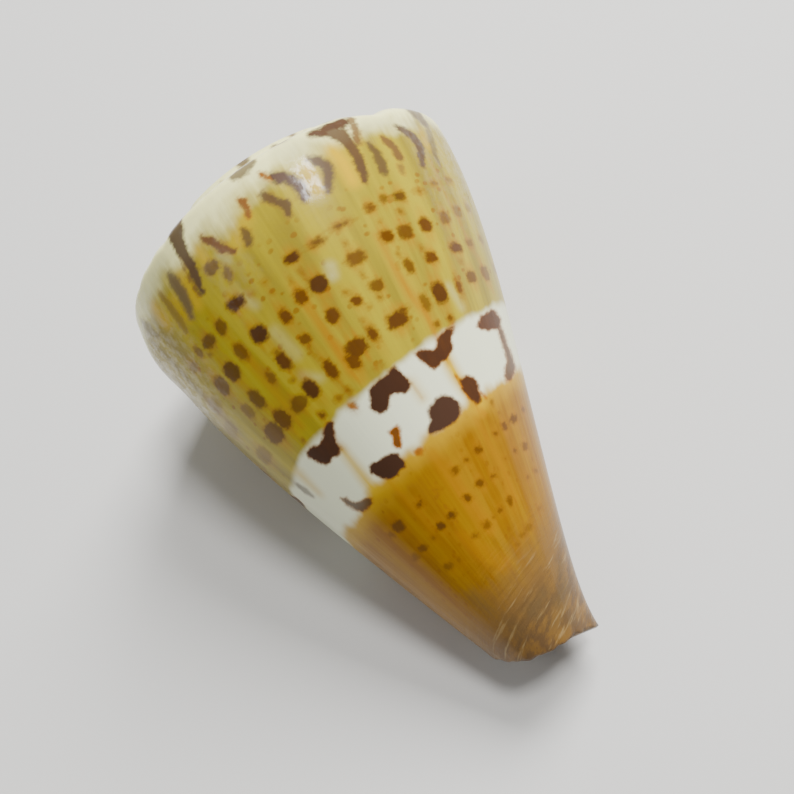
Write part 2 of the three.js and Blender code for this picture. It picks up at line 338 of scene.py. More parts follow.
# %% Cutting the hollow out
def new_mesh(name, points, face_groups, numbers):
    """A mesh from whole arrays: corner numbers joined end to end, one count for each face."""
    mesh = bpy.data.meshes.new(name)
    corners = np.concatenate([group.reshape(-1) for group in face_groups]).astype(np.int32)
    counts = np.concatenate([np.full(len(group), group.shape[1]) for group in face_groups])
    mesh.vertices.add(len(points))
    mesh.loops.add(len(corners))
    mesh.polygons.add(len(counts))
    mesh.vertices.foreach_set("co", points.astype(np.float32).ravel())
    mesh.loops.foreach_set("vertex_index", corners)
    starts = np.concatenate([[0], np.cumsum(counts)[:-1]]).astype(np.int32)
    mesh.polygons.foreach_set("loop_start", starts)
    mesh.attributes.new("source", "INT", "POINT").data.foreach_set("value", numbers.astype(np.int32))
    mesh.update(calc_edges=True)
    mesh.validate()
    return mesh


def add_object(name, data):
    """An object around a mesh, a lamp or a camera, put into the scene."""
    thing = bpy.data.objects.new(name, data)
    bpy.context.collection.objects.link(thing)
    return thing


def read(items, name, width, kind=np.float32):
    """One property of every item of a mesh, a row of numbers for each."""
    values = np.empty(len(items) * width, kind)
    items.foreach_get(name, values)
    return values.reshape(-1, width)


def cut_hollow():
    """Skin less hollow. Each point keeps its number in the two grids; new ones get 0."""
    skin = add_object("skin", new_mesh("skin", skin_points, faces, np.arange(len(skin_points)) + 1))
    numbers = np.arange(len(hollow_points)) + len(skin_points) + 1
    tool = add_object("hollow", new_mesh("hollow", hollow_points, hollow_faces, numbers))
    cut = skin.modifiers.new("mouth", "BOOLEAN")
    cut.object, cut.operation, cut.solver = tool, "DIFFERENCE", "FAST"
    graph = bpy.context.evaluated_depsgraph_get()
    mesh = bpy.data.meshes.new_from_object(skin.evaluated_get(graph))
    for piece in (skin, tool):
        data = piece.data
        bpy.data.objects.remove(piece)
        bpy.data.meshes.remove(data)
    return mesh


shell_mesh = cut_hollow()
count = len(shell_mesh.vertices)
places = read(shell_mesh.vertices, "co", 3).astype(float)
source = read(shell_mesh.attributes["source"].data, "value", 1, np.int32)[:, 0]
print("after the cut:", count, "points,", len(shell_mesh.polygons), "faces,", int((source == 0).sum()), "new")

# %% [markdown]
# ## Where each point lies on the shell
#
# The cut keeps the number of every point, so its age and its depth come straight back.
# Depth is counted in millimetres down from the shoulder, along the rows of markings: they
# run around the shell like the suture does, a little lower towards the lip. On the
# rounding and the ramp the depth goes on as the length of the outline, with a minus sign. It
# falls faster where the rim lies deeper, so that the spire's cream starts at one level.

# %% Age, depth and direction of every point
ROW_CENTRE = 31.7        # height above the shoulder that the rows seem to turn about
ROW_FALL = 0.036         # how fast they draw towards it, for each radian of age
RIM_FADE = 3.0           # length of rounding after which a deep rim makes no difference
NEIGHBOUR_ROUNDS = 12    # rounds in which new points look for a neighbour with a number


def row_depth(age, height):
    """Distance below the rows' centre, times growth that is exponential in the age, less
    the centre's own height."""
    swing = np.exp(ROW_FALL * np.radians(age - BACK_AGE))
    return (SHOULDER_HEIGHT - height + ROW_CENTRE) * swing - ROW_CENTRE


def height_at_depth(age, depth):
    """The same the other way round: the height of a row at an age."""
    swing = np.exp(ROW_FALL * np.radians(age - BACK_AGE))
    return SHOULDER_HEIGHT + ROW_CENTRE - (depth + ROW_CENTRE) / swing


def outline_length(outline):
    """Length of each outline from its last station back to each station."""
    steps = np.linalg.norm(np.diff(outline, axis=1), axis=-1)
    backwards = np.cumsum(steps[:, ::-1], axis=1)[:, ::-1]
    return np.concatenate([backwards, np.zeros((len(outline), 1))], 1)


side_depth = row_depth(ages[: PER_TURN + 1, None], side_part[..., 1])
rim_depth = side_depth[:, ROUND_STATIONS - 1 : ROUND_STATIONS]
steeper = 1 + np.maximum(rim_depth, 0) / RIM_FADE
side_depth[:, :ROUND_STATIONS] = rim_depth - outline_length(side_part[:, :ROUND_STATIONS]) * steeper
inner_depth = np.full(len(ages), side_depth[-1, 0])
inner_depth[: PER_TURN + 1] = side_depth[:, 0]
spire_depth = inner_depth[:, None] - outline_length(spire_part)
skin_depth = np.concatenate([spire_depth.ravel(), side_depth.ravel(), [spire_depth.min(), side_depth.max()]])


def follow_neighbours(source, edges):
    """New points take the number of a neighbour that has one, round after round."""
    source = source.copy()
    for _ in range(NEIGHBOUR_ROUNDS):
        for one, other in ((0, 1), (1, 0)):
            need = (source[edges[:, one]] == 0) & (source[edges[:, other]] > 0)
            source[edges[need, one]] = source[edges[need, other]]
    return source


source = follow_neighbours(source, read(shell_mesh.edges, "vertices", 2, np.int32))
outside = source <= len(skin_points)
index = np.where(outside, source - 1, 0)
azimuth = np.degrees(np.arctan2(places[:, 1], places[:, 0])) % TURN
depth = np.where(outside, skin_depth[index], row_depth(azimuth, places[:, 2]))
print("outside points:", int(outside.sum()), "inside points:", int((~outside).sum()))

# %% Chips and wear
# each chip of the rim: its age, its spread as an age, and its depth in mm
RIM_CHIPS = [(174.0, 5.0, 0.55), (167.0, 4.0, 0.2), (97.0, 3.0, 0.22), (77.0, 3.0, 0.15), (88.0, 4.0, 0.12)]
RIM_TOP, RIM_TOP_FADE = -9.0, 6.0     # depths between which a chip lowers the rim, with its fades
RIM_FOOT, RIM_FOOT_FADE = 0.3, 1.6
EDGE_WEAR, EDGE_REACH = 0.06, 1.2     # how ragged the base's edge is, and how far up, in mm
EDGE_WAVES = [(7, 0, 1.0), (13, 1, 1.0), (23, 2, 0.5)]   # waves in a turn, phase and size


def wear_down(places):
    """Lowers the rim by the sum of its chips, and shifts the base's edge by three waves."""
    above_foot = 1 - smooth_step((depth - RIM_FOOT) / RIM_FOOT_FADE)
    rim = smooth_step((depth - RIM_TOP) / RIM_TOP_FADE) * above_foot * outside
    chips = sum(size * bump(azimuth, age, spread) for age, spread, size in RIM_CHIPS)
    waves = sum(size * np.sin(times * np.radians(azimuth) + phase) for times, phase, size in EDGE_WAVES)
    edge = np.clip(1 - (places[:, 2] - side_height(azimuth, 0.0)) / EDGE_REACH, 0, 1) * outside
    worn = places.copy()
    worn[:, 2] += EDGE_WEAR * waves * edge - chips * rim
    return worn


places = wear_down(places)
print("deepest chip: %.2f mm" % max(size for _, _, size in RIM_CHIPS))

# %% [markdown]
# ## The pose and the camera
#
# The shell lies on its lip and on the older side of the last whorl, which leaves the back
# on top and the spire end raised. The camera looks at the middle of the back, slightly
# from the base's side, and it is rolled so that the spire points to the upper left.

# %% Laying the shell down
UP_AGE = 135.2
REST_TILT = 15.1


def turn_about(axis, degrees):
    """A turn about one axis, as a matrix of three rows."""
    return np.array(Matrix.Rotation(np.radians(degrees), 3, axis))


pose = turn_about("X", REST_TILT - 90) @ turn_about("Z", -90 - UP_AGE)
laid = places @ pose.T
low, high = laid.min(0), laid.max(0)
shift = np.array([-(low[0] + high[0]) / 2, -(low[1] + high[1]) / 2, -low[2]])
print("size lying down in mm:", np.round(high - low, 2).tolist())

# %% The camera of the photograph
PHOTO_SIZE = 794.0
PHOTO_CENTRE = np.array([397.0, 397.0])
PIXELS_PER_MM = 9.5          # at the shell's axis
VIEW_DISTANCE = 1040.0       # in pixels of that scale
VIEW_DIP = 12.8              # degrees below the square-on view, from the base's side
AXIS_ROLL = 1.3              # degrees that the axis leans to the right, spire up
AXIS_ASIDE = 5.0             # pixels from the axis to the picture's centre line
AXIS_START = 201.0           # pixels from the shoulder up to the picture's centre
SPIRE_UP_TURN = 32.5         # turning the photograph clockwise by this puts the spire up
TURN_CENTRE = np.array([367.0, 384.0])
SENSOR = 36.0                # width of the camera's sensor, mm
NEAR, FAR = 0.005, 20.0      # metres between which the camera sees
UP = np.array([0.0, 0.0, 1.0])


def unit(angle):
    """Level direction outwards at an angle about the axis: its cosine and its sine."""
    return np.array([np.cos(np.radians(angle)), np.sin(np.radians(angle)), 0.0])


def spire_up(pixels):
    """Pixels of the photograph, turned so that the spire points up."""
    cos, sin = np.cos(np.radians(SPIRE_UP_TURN)), np.sin(np.radians(SPIRE_UP_TURN))
    return (np.asarray(pixels, float) - TURN_CENTRE) @ np.array([[cos, sin], [-sin, cos]]) + TURN_CENTRE


dip = np.radians(VIEW_DIP)
lean, right_view = unit(90 - AXIS_ROLL), unit(-AXIS_ROLL)
axis_view = np.cos(dip) * lean - np.sin(dip) * UP
back_view = np.sin(dip) * lean + np.cos(dip) * UP
view_frame = np.stack([right_view, axis_view, back_view], 1)
shell_frame = np.stack([unit(BACK_AGE + 90), UP, unit(BACK_AGE)], 1)
view_from_shell = view_frame @ shell_frame.T
shoulder_view = AXIS_ASIDE * right_view + AXIS_START * axis_view
centre_up = spire_up(PHOTO_CENTRE)
eye = view_from_shell.T @ (VIEW_DISTANCE * UP - shoulder_view) / PIXELS_PER_MM + SHOULDER_HEIGHT * UP


def in_view(points):
    """Points of the shell's own frame, in pixels along the camera's right, up and back."""
    return (points - SHOULDER_HEIGHT * UP) @ view_from_shell.T * PIXELS_PER_MM + shoulder_view


def seen(points):
    """Pixels, spire up, where the camera sees points of the shell's own frame."""
    view = in_view(points)
    scale = VIEW_DISTANCE / (VIEW_DISTANCE - view[..., 2])
    return np.stack([centre_up[0] + view[..., 0] * scale, centre_up[1] - view[..., 1] * scale], -1)


# %% Placing the camera
def place_camera():
    """Camera from the same numbers, carried into the frame of the lying shell."""
    to_world = pose @ view_from_shell.T
    right, up, back = to_world @ unit(-SPIRE_UP_TURN), to_world @ unit(90 - SPIRE_UP_TURN), to_world @ UP
    data = bpy.data.cameras.new("photo_camera")
    data.sensor_width = SENSOR
    data.lens = SENSOR * VIEW_DISTANCE / PHOTO_SIZE
    data.clip_start, data.clip_end = NEAR, FAR
    camera = add_object("photo_camera", data)
    basis = Matrix([list(row) for row in np.stack([right, up, back], 1)]).to_4x4()
    camera.matrix_world = Matrix.Translation(Vector((pose @ eye + shift) * MM)) @ basis
    bpy.context.scene.camera = camera
    return camera, back


camera, towards_camera = place_camera()
print("camera height above the floor: %.0f mm, elevation %.1f degrees"
      % (camera.location.z / MM, np.degrees(np.arcsin(towards_camera[2]))))

# %% [markdown]
# ## Reading the markings
#
# The markings of the back were read from the photograph, turned so that the spire
# points up. Each is a named place in pixels with a size: the corners of an outline for a
# large blotch, a chain of discs for a small one or a flame, a rounded square for a dot. The
# skin point that the camera sees at a pixel carries the mark onto the shell, where sizes
# become millimetres.
#
# Tones run from 0 for the darkest brown, over 0.5 for red-brown, to 1 for orange. Below 0 the
# glaze lies thicker over the mark, which turns greyer and softer.

# %% Blotches along the white band
# each outline: tone, strength, then its corners in pixels
OUTLINES = [
    (0.0, 1.0, [(366, 390), (372, 389), (380, 388), (389, 387), (395, 385), (400, 384), (401, 390),
        (402, 398), (404, 407), (400, 411), (394, 412), (390, 409), (387, 407), (381, 406), (377, 408),
        (374, 414), (370, 416), (363, 416), (359, 411), (358, 406), (361, 400), (365, 394)]),
    (0.1, 1.0, [(280, 409), (286, 408), (291, 409), (295, 410), (298, 408), (301, 406), (304, 402),
        (309, 398), (314, 395), (317, 398), (314, 405), (311, 411), (309, 418), (310, 424), (306, 428),
        (302, 428), (298, 427), (295, 429), (293, 430), (290, 430), (286, 426), (282, 420), (279, 414)]),
    (0.15, 1.0, [(424, 384), (429, 384), (434, 386), (438, 389), (441, 391), (445, 391), (448, 388),
        (449, 386), (450, 384), (455, 382), (463, 381), (471, 381), (470, 384), (464, 388), (461, 393),
        (459, 399), (454, 402), (448, 405), (441, 405), (437, 407), (432, 408), (429, 402), (426, 394)]),
    (0.2, 1.0, [(491, 395), (496, 391), (500, 388), (507, 389), (512, 388), (514, 391), (514, 401),
        (509, 409), (504, 405), (499, 404), (494, 400)]),
    (0.25, 0.95, [(507, 408), (511, 406), (509, 415), (506, 426), (504, 438), (501, 449), (496, 454),
        (490, 458), (486, 456), (488, 451), (492, 446), (498, 440), (501, 431), (504, 420)]),
    (0.6, 1.0, [(360, 436), (370, 436), (372, 439), (368, 442), (366, 446), (364, 452), (361, 456),
        (357, 452), (357, 449), (360, 445), (361, 440)]),
    (0.0, 1.0, [(325, 455), (330, 454), (334, 456), (343, 455), (350, 456), (355, 460), (356, 467),
        (355, 474), (349, 474), (344, 477), (337, 476), (331, 473), (327, 467), (323, 461)]),
    (-0.1, 1.0, [(404, 440), (408, 437), (413, 437), (417, 434), (422, 434), (427, 437), (431, 441),
        (434, 447), (433, 453), (430, 459), (424, 462), (415, 463), (405, 462), (398, 461), (393, 460),
        (394, 456), (398, 452), (402, 450), (403, 445)]),
    (0.15, 1.0, [(447, 431), (455, 431), (460, 435), (460, 444), (457, 452), (454, 459), (449, 460),
        (446, 451), (445, 440)]),
    (0.2, 0.9, [(284, 467), (288, 469), (290, 475), (294, 479), (300, 480), (305, 480), (309, 483),
        (307, 487), (300, 489), (294, 489), (290, 484), (286, 476)]),
    (0.8, 0.9, [(371, 467), (377, 466), (380, 469), (376, 472), (372, 471)]),
]
# each chain of discs: tone, strength, then (x, y, radius)
BAND_CHAINS = [
    (0.75, 1.0, [(447, 424, 1.5), (446, 436, 1.5), (446, 450, 1.5)]),
    (0.7, 0.8, [(458, 452, 1.5), (460, 459, 1.5)]),
    (0.8, 0.7, [(341, 394, 2.5), (345, 398, 2)]),
    (-0.5, 0.7, [(254, 433, 3), (258, 441, 4), (260, 448, 2)]),
]
print(len(OUTLINES), "outlines and", len(BAND_CHAINS), "chains on the band")

# %% Flames on the shoulder
FLAMES = [
    (0.0, 0.95, [(291, 145, 8), (288, 152, 9), (284, 162, 8), (282, 175, 7), (281, 190, 6), (280, 205, 5),
                 (278, 216, 4)]),
    (0.1, 1.0, [(455, 143, 4), (470, 148, 7), (487, 150, 6)]),
    (0.1, 0.95, [(472, 152, 7), (480, 160, 8), (482, 175, 6), (480, 190, 6), (477, 202, 5), (474, 211, 3)]),
    (0.4, 0.8, [(276, 178, 2), (276, 200, 3), (274, 217, 3)]),
    (-0.6, 0.8, [(260, 186, 4), (259, 195, 7), (260, 207, 7), (257, 219, 6), (256, 232, 4)]),
    (0.45, 0.5, [(242, 198, 3), (241, 210, 4), (243, 225, 5), (242, 240, 4)]),
    (-0.6, 0.6, [(211, 213, 3), (213, 222, 5), (216, 230, 3)]),
    (0.35, 1.0, [(306, 171, 3), (310, 178, 4), (314, 186, 5), (319, 193, 5), (325, 201, 3)]),
    (0.65, 1.0, [(358, 159, 3), (360, 166, 5), (360, 172, 4), (357, 179, 3)]),
    (0.1, 0.85, [(367, 137, 5), (377, 137, 6), (388, 135, 4)]),
    (0.1, 0.85, [(347, 188, 4), (345, 195, 6), (342, 200, 5)]),
    (0.2, 0.85, [(297, 203, 7), (303, 202, 6)]),
    (0.25, 0.8, [(310, 210, 4), (308, 217, 5), (307, 223, 3)]),
    (0.1, 0.9, [(381, 170, 5), (384, 176, 6), (390, 184, 4), (394, 191, 6), (391, 197, 4)]),
    (0.75, 1.0, [(391, 151, 3), (395, 157, 4)]),
    (-0.2, 1.0, [(399, 159, 5), (405, 164, 7), (411, 168, 6), (416, 178, 6), (417, 190, 6), (412, 197, 3)]),
    (-0.3, 0.95, [(440, 163, 4), (446, 170, 6), (449, 178, 6), (446, 187, 6), (441, 195, 5), (437, 200, 3)]),
    (0.35, 0.9, [(496, 150, 3), (493, 162, 4), (488, 175, 4)]),
    (0.0, 0.85, [(498, 183, 3), (498, 195, 5), (499, 203, 6), (495, 214, 5)]),
    (0.3, 0.9, [(513, 184, 3), (514, 190, 5), (517, 200, 4), (517, 208, 5)]),
    (0.45, 0.7, [(511, 217, 4), (511, 225, 3)]),
    (0.0, 0.95, [(530, 184, 3), (535, 192, 4), (539, 203, 5), (539, 212, 5), (535, 220, 4), (531, 229, 3)]),
    (-0.6, 0.85, [(551, 176, 5), (554, 185, 7), (556, 194, 5)]),
    (0.0, 0.6, [(556, 200, 3), (553, 212, 4), (549, 225, 3), (546, 236, 2)]),
]
# where flames reach the rim of the spire, and a ray runs on over the ramp
RIM_PLACES = [(228, 182), (288, 151), (332, 141), (378, 137), (425, 139), (475, 143), (509, 158), (552, 176)]
print(len(FLAMES), "flames, of which", len(RIM_PLACES), "reach the spire")

# %% Dots in rows
# each dot: x, y, half width, half height in pixels, tone, strength
ROW_A = [
    (230, 277, 4, 5, 0.4, 0.5), (242, 268, 3, 6, 0.4, 0.7), (257, 263, 6, 6, 0.3, 0.8),
    (275, 256, 5, 7, 0.4, 0.8), (300, 247, 8, 6, 0.1, 1.0), (316, 246, 3, 2, 0.8, 0.6),
    (336, 243, 3, 2, 0.8, 0.6), (371, 236, 7, 5, 0.2, 1.0), (400, 236, 8, 4, 0.3, 0.9),
    (430, 236, 9, 3, 0.3, 0.9), (464, 236, 5, 4, 0.5, 0.9), (480, 238, 4, 4, 0.4, 0.8),
    (497, 243, 5, 5, 0.2, 0.9), (515, 250, 4, 3, 0.7, 0.7), (531, 251, 3, 3, 0.5, 0.7),
    (545, 257, 3, 3, 0.5, 0.6)]
ROW_B = [
    (227, 320, 5, 8, 0.4, 0.4), (243, 307, 5, 9, 0.3, 0.8), (260, 300, 6, 9, 0.3, 0.9),
    (279, 290, 5, 9, 0.6, 0.8), (302, 284, 7, 8, 0.1, 1.0), (334, 281, 5, 7, 0.5, 1.0),
    (358, 274, 6, 7, 0.55, 1.0), (381, 273, 8, 8, 0.15, 1.0), (425, 272, 9, 6, 0.4, 0.9),
    (462, 271, 6, 6, 0.5, 1.0), (480, 275, 6, 7, 0.3, 0.9), (502, 280, 5, 7, 0.35, 1.0),
    (522, 284, 4, 6, 0.4, 0.8), (536, 287, 3, 6, 0.5, 0.6), (546, 290, 2, 5, 0.5, 0.5)]
ROW_C = [
    (228, 350, 4, 8, 0.4, 0.4), (251, 342, 4, 8, 0.4, 0.6), (266, 337, 5, 10, 0.3, 0.8),
    (290, 325, 4, 7, 0.6, 0.7), (309, 320, 5, 10, 0.35, 1.0), (308, 309, 4, 4, 0.6, 0.7),
    (339, 314, 5, 5, 0.5, 0.9), (376, 309, 6, 7, 0.4, 1.0), (402, 307, 5, 5, 0.45, 1.0),
    (427, 307, 6, 6, 0.45, 0.9), (424, 318, 3, 3, 0.7, 0.7), (465, 307, 4, 7, 0.4, 0.9),
    (489, 312, 5, 6, 0.4, 1.0), (515, 316, 5, 5, 0.3, 1.0), (530, 320, 3, 4, 0.5, 0.7),
    (540, 324, 2, 4, 0.5, 0.5)]
ROW_D = [
    (241, 388, 5, 8, 0.4, 0.5), (262, 375, 7, 10, 0.35, 0.85), (277, 368, 6, 10, 0.5, 0.9),
    (300, 364, 8, 7, 0.45, 0.8), (318, 357, 6, 9, 0.2, 1.0), (344, 353, 5, 10, 0.5, 1.0),
    (378, 347, 10, 8, 0.4, 1.0), (367, 356, 6, 8, 0.55, 1.0), (399, 344, 4, 8, 0.45, 1.0),
    (428, 345, 10, 7, 0.3, 1.0), (436, 340, 6, 3, 0.3, 0.9), (461, 345, 4, 8, 0.5, 0.8),
    (477, 347, 6, 10, 0.2, 1.0), (497, 351, 2.5, 9, 0.65, 1.0), (513, 349, 4, 6, 0.35, 0.9),
    (526, 354, 3, 7, 0.45, 0.8), (536, 356, 2, 5, 0.5, 0.5)]
ROW_E = [
    (307, 525, 3, 4, 0.5, 0.5), (317, 522, 5, 6, 0.3, 0.8), (346, 515, 4, 3, 0.5, 0.9),
    (368, 510, 3, 2, 0.7, 0.5), (395, 503, 4, 4, 0.5, 0.8), (409, 502, 3, 3, 0.5, 0.8),
    (426, 498, 4, 4, 0.4, 0.9), (449, 495, 3, 3, 0.5, 0.8), (460, 493, 3, 4, 0.45, 0.9),
    (472, 492, 4, 4, 0.35, 0.9), (485, 490, 2, 3, 0.5, 0.7), (463, 468, 2, 3, 0.6, 0.6)]
ROW_F = [
    (315, 555, 4, 4, 0.4, 0.5), (326, 552, 4, 4, 0.35, 0.7), (341, 549, 3, 3, 0.5, 0.5),
    (353, 543, 4, 4, 0.3, 0.9), (369, 540, 4, 4, 0.3, 0.9), (391, 533, 4, 4, 0.35, 0.9),
    (409, 530, 4, 4, 0.4, 0.9), (424, 528, 3, 3, 0.45, 0.8), (443, 523, 2, 2, 0.6, 0.5),
    (456, 521, 2, 3, 0.5, 0.8), (467, 520, 3, 4, 0.45, 0.8)]
ROW_G = [
    (338, 583, 4, 4, 0.4, 0.6), (350, 581, 3, 3, 0.6, 0.4), (376, 571, 4, 3, 0.5, 0.6),
    (393, 568, 4, 4, 0.4, 0.7), (402, 564, 2, 2, 0.6, 0.5), (412, 561, 3, 3, 0.4, 0.7),
    (425, 558, 3, 4, 0.4, 0.8), (453, 549, 2, 3, 0.5, 0.6), (463, 547, 2, 3, 0.5, 0.6)]
ROW_H = [
    (372, 607, 4, 3, 0.7, 0.3), (408, 600, 3, 3, 0.6, 0.4), (418, 596, 4, 3, 0.5, 0.5),
    (427, 593, 4, 4, 0.5, 0.5), (446, 581, 3, 3, 0.6, 0.4)]
SPECKS = [
    (312, 387, 3, 4, 0.6, 0.9), (336, 382, 4, 3, 0.75, 0.7), (349, 380, 3, 4, 0.75, 0.7),
    (343, 396, 4, 3, 0.7, 0.8), (385, 376, 4, 2, 0.9, 0.5), (459, 371, 3, 3, 0.6, 0.8),
    (473, 372, 3, 4, 0.5, 0.9), (283, 397, 2, 3, 0.8, 0.6), (358, 255, 2, 3, 0.9, 0.6),
    (371, 256, 3, 5, 0.9, 0.6), (335, 256, 2, 3, 0.9, 0.5), (424, 252, 2, 3, 0.8, 0.6),
    (488, 256, 3, 3, 0.6, 0.7), (464, 254, 2, 2, 0.8, 0.6), (462, 292, 2, 3, 0.8, 0.6),
    (486, 298, 2, 3, 0.8, 0.6), (399, 294, 3, 3, 0.8, 0.6), (422, 290, 2, 3, 0.8, 0.6),
    (411, 321, 2, 2, 0.9, 0.6), (338, 325, 2, 5, 0.7, 0.7), (307, 340, 3, 3, 0.7, 0.6),
    (397, 330, 2, 3, 0.9, 0.5), (512, 331, 2, 3, 0.8, 0.6), (250, 276, 2, 3, 0.7, 0.5)]
DOTS = ROW_A + ROW_B + ROW_C + ROW_D + ROW_E + ROW_F + ROW_G + ROW_H + SPECKS
print(len(DOTS), "dots and specks")

# %% Washes of colour
# growth lines, clouds, grey stains on the base and painted shade along the left edge, each a strength and a
# soft chain of (x, y, radius)
ORANGE_LINES = [
    (0.9, [(357, 262, 2), (359, 300, 3), (361, 330, 4), (358, 365, 4), (365, 380, 2)]),
    (0.8, [(455, 262, 1.5), (454, 300, 4), (452, 330, 5), (453, 360, 4), (449, 395, 3)]),
    (1.0, [(448, 396, 2), (447, 408, 1.5)]), (1.0, [(447, 430, 2), (447, 445, 2), (448, 470, 4)]),
    (0.6, [(280, 285, 4), (282, 320, 5), (287, 345, 5), (290, 385, 4)]),
    (0.5, [(311, 400, 3), (312, 425, 3)]),
    (0.7, [(541, 225, 1), (535, 270, 1), (530, 320, 1.2), (523, 375, 1)]),
    (0.6, [(404, 400, 1), (406, 425, 1)]),
    (0.5, [(334, 476, 3), (340, 510, 4), (345, 540, 4)]),
    (0.6, [(386, 476, 5), (388, 520, 7), (392, 570, 8)]),
    (0.5, [(441, 470, 3), (437, 520, 4), (430, 560, 5)]),
    (0.5, [(365, 560, 6), (375, 590, 10), (385, 610, 9)]),
]
YELLOW_PLACES = [
    (0.9, [(465, 170, 7), (466, 185, 8), (464, 205, 7)]), (0.7, [(432, 172, 7), (431, 190, 7)]),
    (0.6, [(228, 205, 8), (230, 222, 9)]), (0.5, [(250, 210, 4), (250, 230, 5)]),
    (0.6, [(268, 190, 4), (268, 225, 6)]), (0.6, [(295, 180, 5), (297, 192, 5)]),
    (1.0, [(447, 404, 5), (447, 425, 5), (450, 462, 6)]),
    (0.8, [(310, 426, 3), (313, 450, 4), (316, 474, 6)]),
    (0.5, [(262, 425, 7), (268, 450, 4)]), (0.5, [(548, 200, 4), (545, 215, 5)]),
    (0.4, [(352, 180, 8), (335, 192, 9)]), (0.5, [(405, 406, 3), (407, 425, 3)]),
]
PALE_CLOUDS = [
    (0.6, [(398, 266, 5), (397, 274, 5)]), (0.35, [(318, 290, 6), (322, 320, 6)]),
    (0.4, [(314, 196, 5), (318, 200, 4)]), (0.45, [(488, 345, 3), (489, 370, 4)]),
    (0.4, [(318, 343, 4), (330, 352, 4)]), (0.35, [(310, 246, 5), (314, 258, 4)]),
    (0.5, [(422, 140, 14), (440, 147, 12)]), (0.5, [(311, 196, 4), (314, 204, 4)]),
    (0.7, [(222, 196, 10), (240, 184, 9), (262, 172, 7)]),
    (0.6, [(505, 166, 7), (522, 176, 7), (545, 190, 6)]),
]
GREY_SHADE_AND_STAINS = [
    # the first three are painted shade down the left edge of the back, the rest grey stains on the base
    (0.35, [(208, 230, 8), (214, 260, 10), (222, 300, 9), (232, 350, 8)]),
    (0.35, [(222, 240, 6), (228, 262, 6)]), (0.4, [(245, 400, 8), (252, 425, 5)]),
    (0.9, [(385, 663, 9), (403, 655, 7)]), (0.9, [(412, 671, 10), (427, 660, 8)]),
    (0.8, [(432, 643, 6), (425, 652, 5)]), (0.5, [(358, 660, 8), (362, 672, 8)]),
    (0.5, [(395, 686, 8), (415, 690, 7)]), (0.5, [(340, 620, 5), (350, 640, 6)]),
]
print(len(ORANGE_LINES + YELLOW_PLACES + PALE_CLOUDS + GREY_SHADE_AND_STAINS), "washes")

# %% From pixels to places on the shell
SPIRE_RADIUS, SPIRE_FOOT = 16.8, 48.0    # mm: the shoulder hides what lies inside and above these
LEAST_SEEN = 0.03                # a point counts as seen when it faces the camera more than this
LEAST_FACING = 0.3               # a mark is widened for no slant greater than this
FAR_OFF = 1e6                    # a distance past any on the shell
NO_MARK = 3.0                    # mm: no mark shows as far as this from its edge
TINY = 1e-9                      # in place of the length of a link whose ends meet
SQUARENESS = 2.6                 # power that makes a dot: 2 gives an ellipse, more squarer corners
DOT_REACH = 2.0                  # mm: how far a dot reaches through the wall
normals = read(shell_mesh.vertices, "normal", 3).astype(float)
sight = eye - places
sight /= np.linalg.norm(sight, axis=1)[:, None]
facing = (normals * sight).sum(1)
on_spire = (np.hypot(places[:, 0], places[:, 1]) < SPIRE_RADIUS) & (places[:, 2] > SPIRE_FOOT)
visible = outside & (facing > LEAST_SEEN) & ~on_spire
seen_pixels = seen(places)


def on_shell(pixels):
    """Nearest visible skin point for each pixel, as point numbers."""
    hidden = np.where(visible, 0.0, FAR_OFF)
    return np.array([np.argmin(np.hypot(*(seen_pixels - pixel).T) + hidden) for pixel in pixels])


print("points that the camera sees:", int(visible.sum()))


# %% How far each point is from a mark
def pixel_length(numbers):
    """Millimetres for one pixel at points of the shell."""
    return (VIEW_DISTANCE - in_view(places[numbers])[:, 2]) / VIEW_DISTANCE / PIXELS_PER_MM


def chain_distance(nodes, radii):
    """Distance from every point to a chain of discs: to the nearest point of each link,
    less the radius there."""
    gaps = []
    for start, end, radius, next_radius in zip(nodes[:-1], nodes[1:], radii[:-1], radii[1:]):
        link = end - start
        share = np.clip((places - start) @ link / max(link @ link, TINY), 0, 1)
        gap = np.linalg.norm(places - start - share[:, None] * link, axis=1)
        gaps.append(gap - radius - share * (next_radius - radius))
    return np.min(gaps, 0)


def outline_distance(corners):
    """Distance in the picture to a closed outline, negative inside it, in millimetres:
    to the nearest side, with the sign from the number of sides that a level line crosses."""
    gap = np.full(count, FAR_OFF)
    inside = np.zeros(count, bool)
    x, y = seen_pixels.T
    for start, end in zip(corners, np.roll(corners, -1, 0)):
        side = end - start
        offset = seen_pixels - start
        share = np.clip(offset @ side / (side @ side), 0, 1)
        gap = np.minimum(gap, np.linalg.norm(offset - share[:, None] * side, axis=1))
        if start[1] != end[1]:
            crossing = start[0] + (y - start[1]) / side[1] * side[0]
            inside ^= ((start[1] > y) != (end[1] > y)) & (x < crossing)
    signed = np.where(inside, -gap, gap) * pixel_length(np.arange(count))
    return np.where(visible, signed, NO_MARK)


def dot_distance(centre, normal, half_width, half_height):
    """Distance to a rounded square on the skin: the offset over the half sizes, taken to a
    high power and back, less 1, times the smaller half size."""
    around = np.cross([0, 0, 1.0], normal)
    around /= np.linalg.norm(around)
    down = np.cross(normal, around)
    offset = places - centre
    across, along, through = offset @ around, offset @ down, offset @ normal
    shares = np.abs([across / half_width, along / half_height, through / DOT_REACH])
    return ((shares ** SQUARENESS).sum(0) ** (1 / SQUARENESS) - 1) * min(half_width, half_height)


# %% Laying the marks on the shell
class Field:
    """The nearest mark of one kind: its signed distance in mm, its tone and its strength."""

    def __init__(self):
        self.values = np.tile([NO_MARK, 0.5, 1.0], (count, 1))

    def add(self, distance, tone, strength):
        """A mark replaces the values wherever it is nearer than the marks before it."""
        nearer = distance < self.values[:, 0]
        self.values[nearer] = np.stack(np.broadcast_arrays(distance, tone, strength), 1)[nearer]


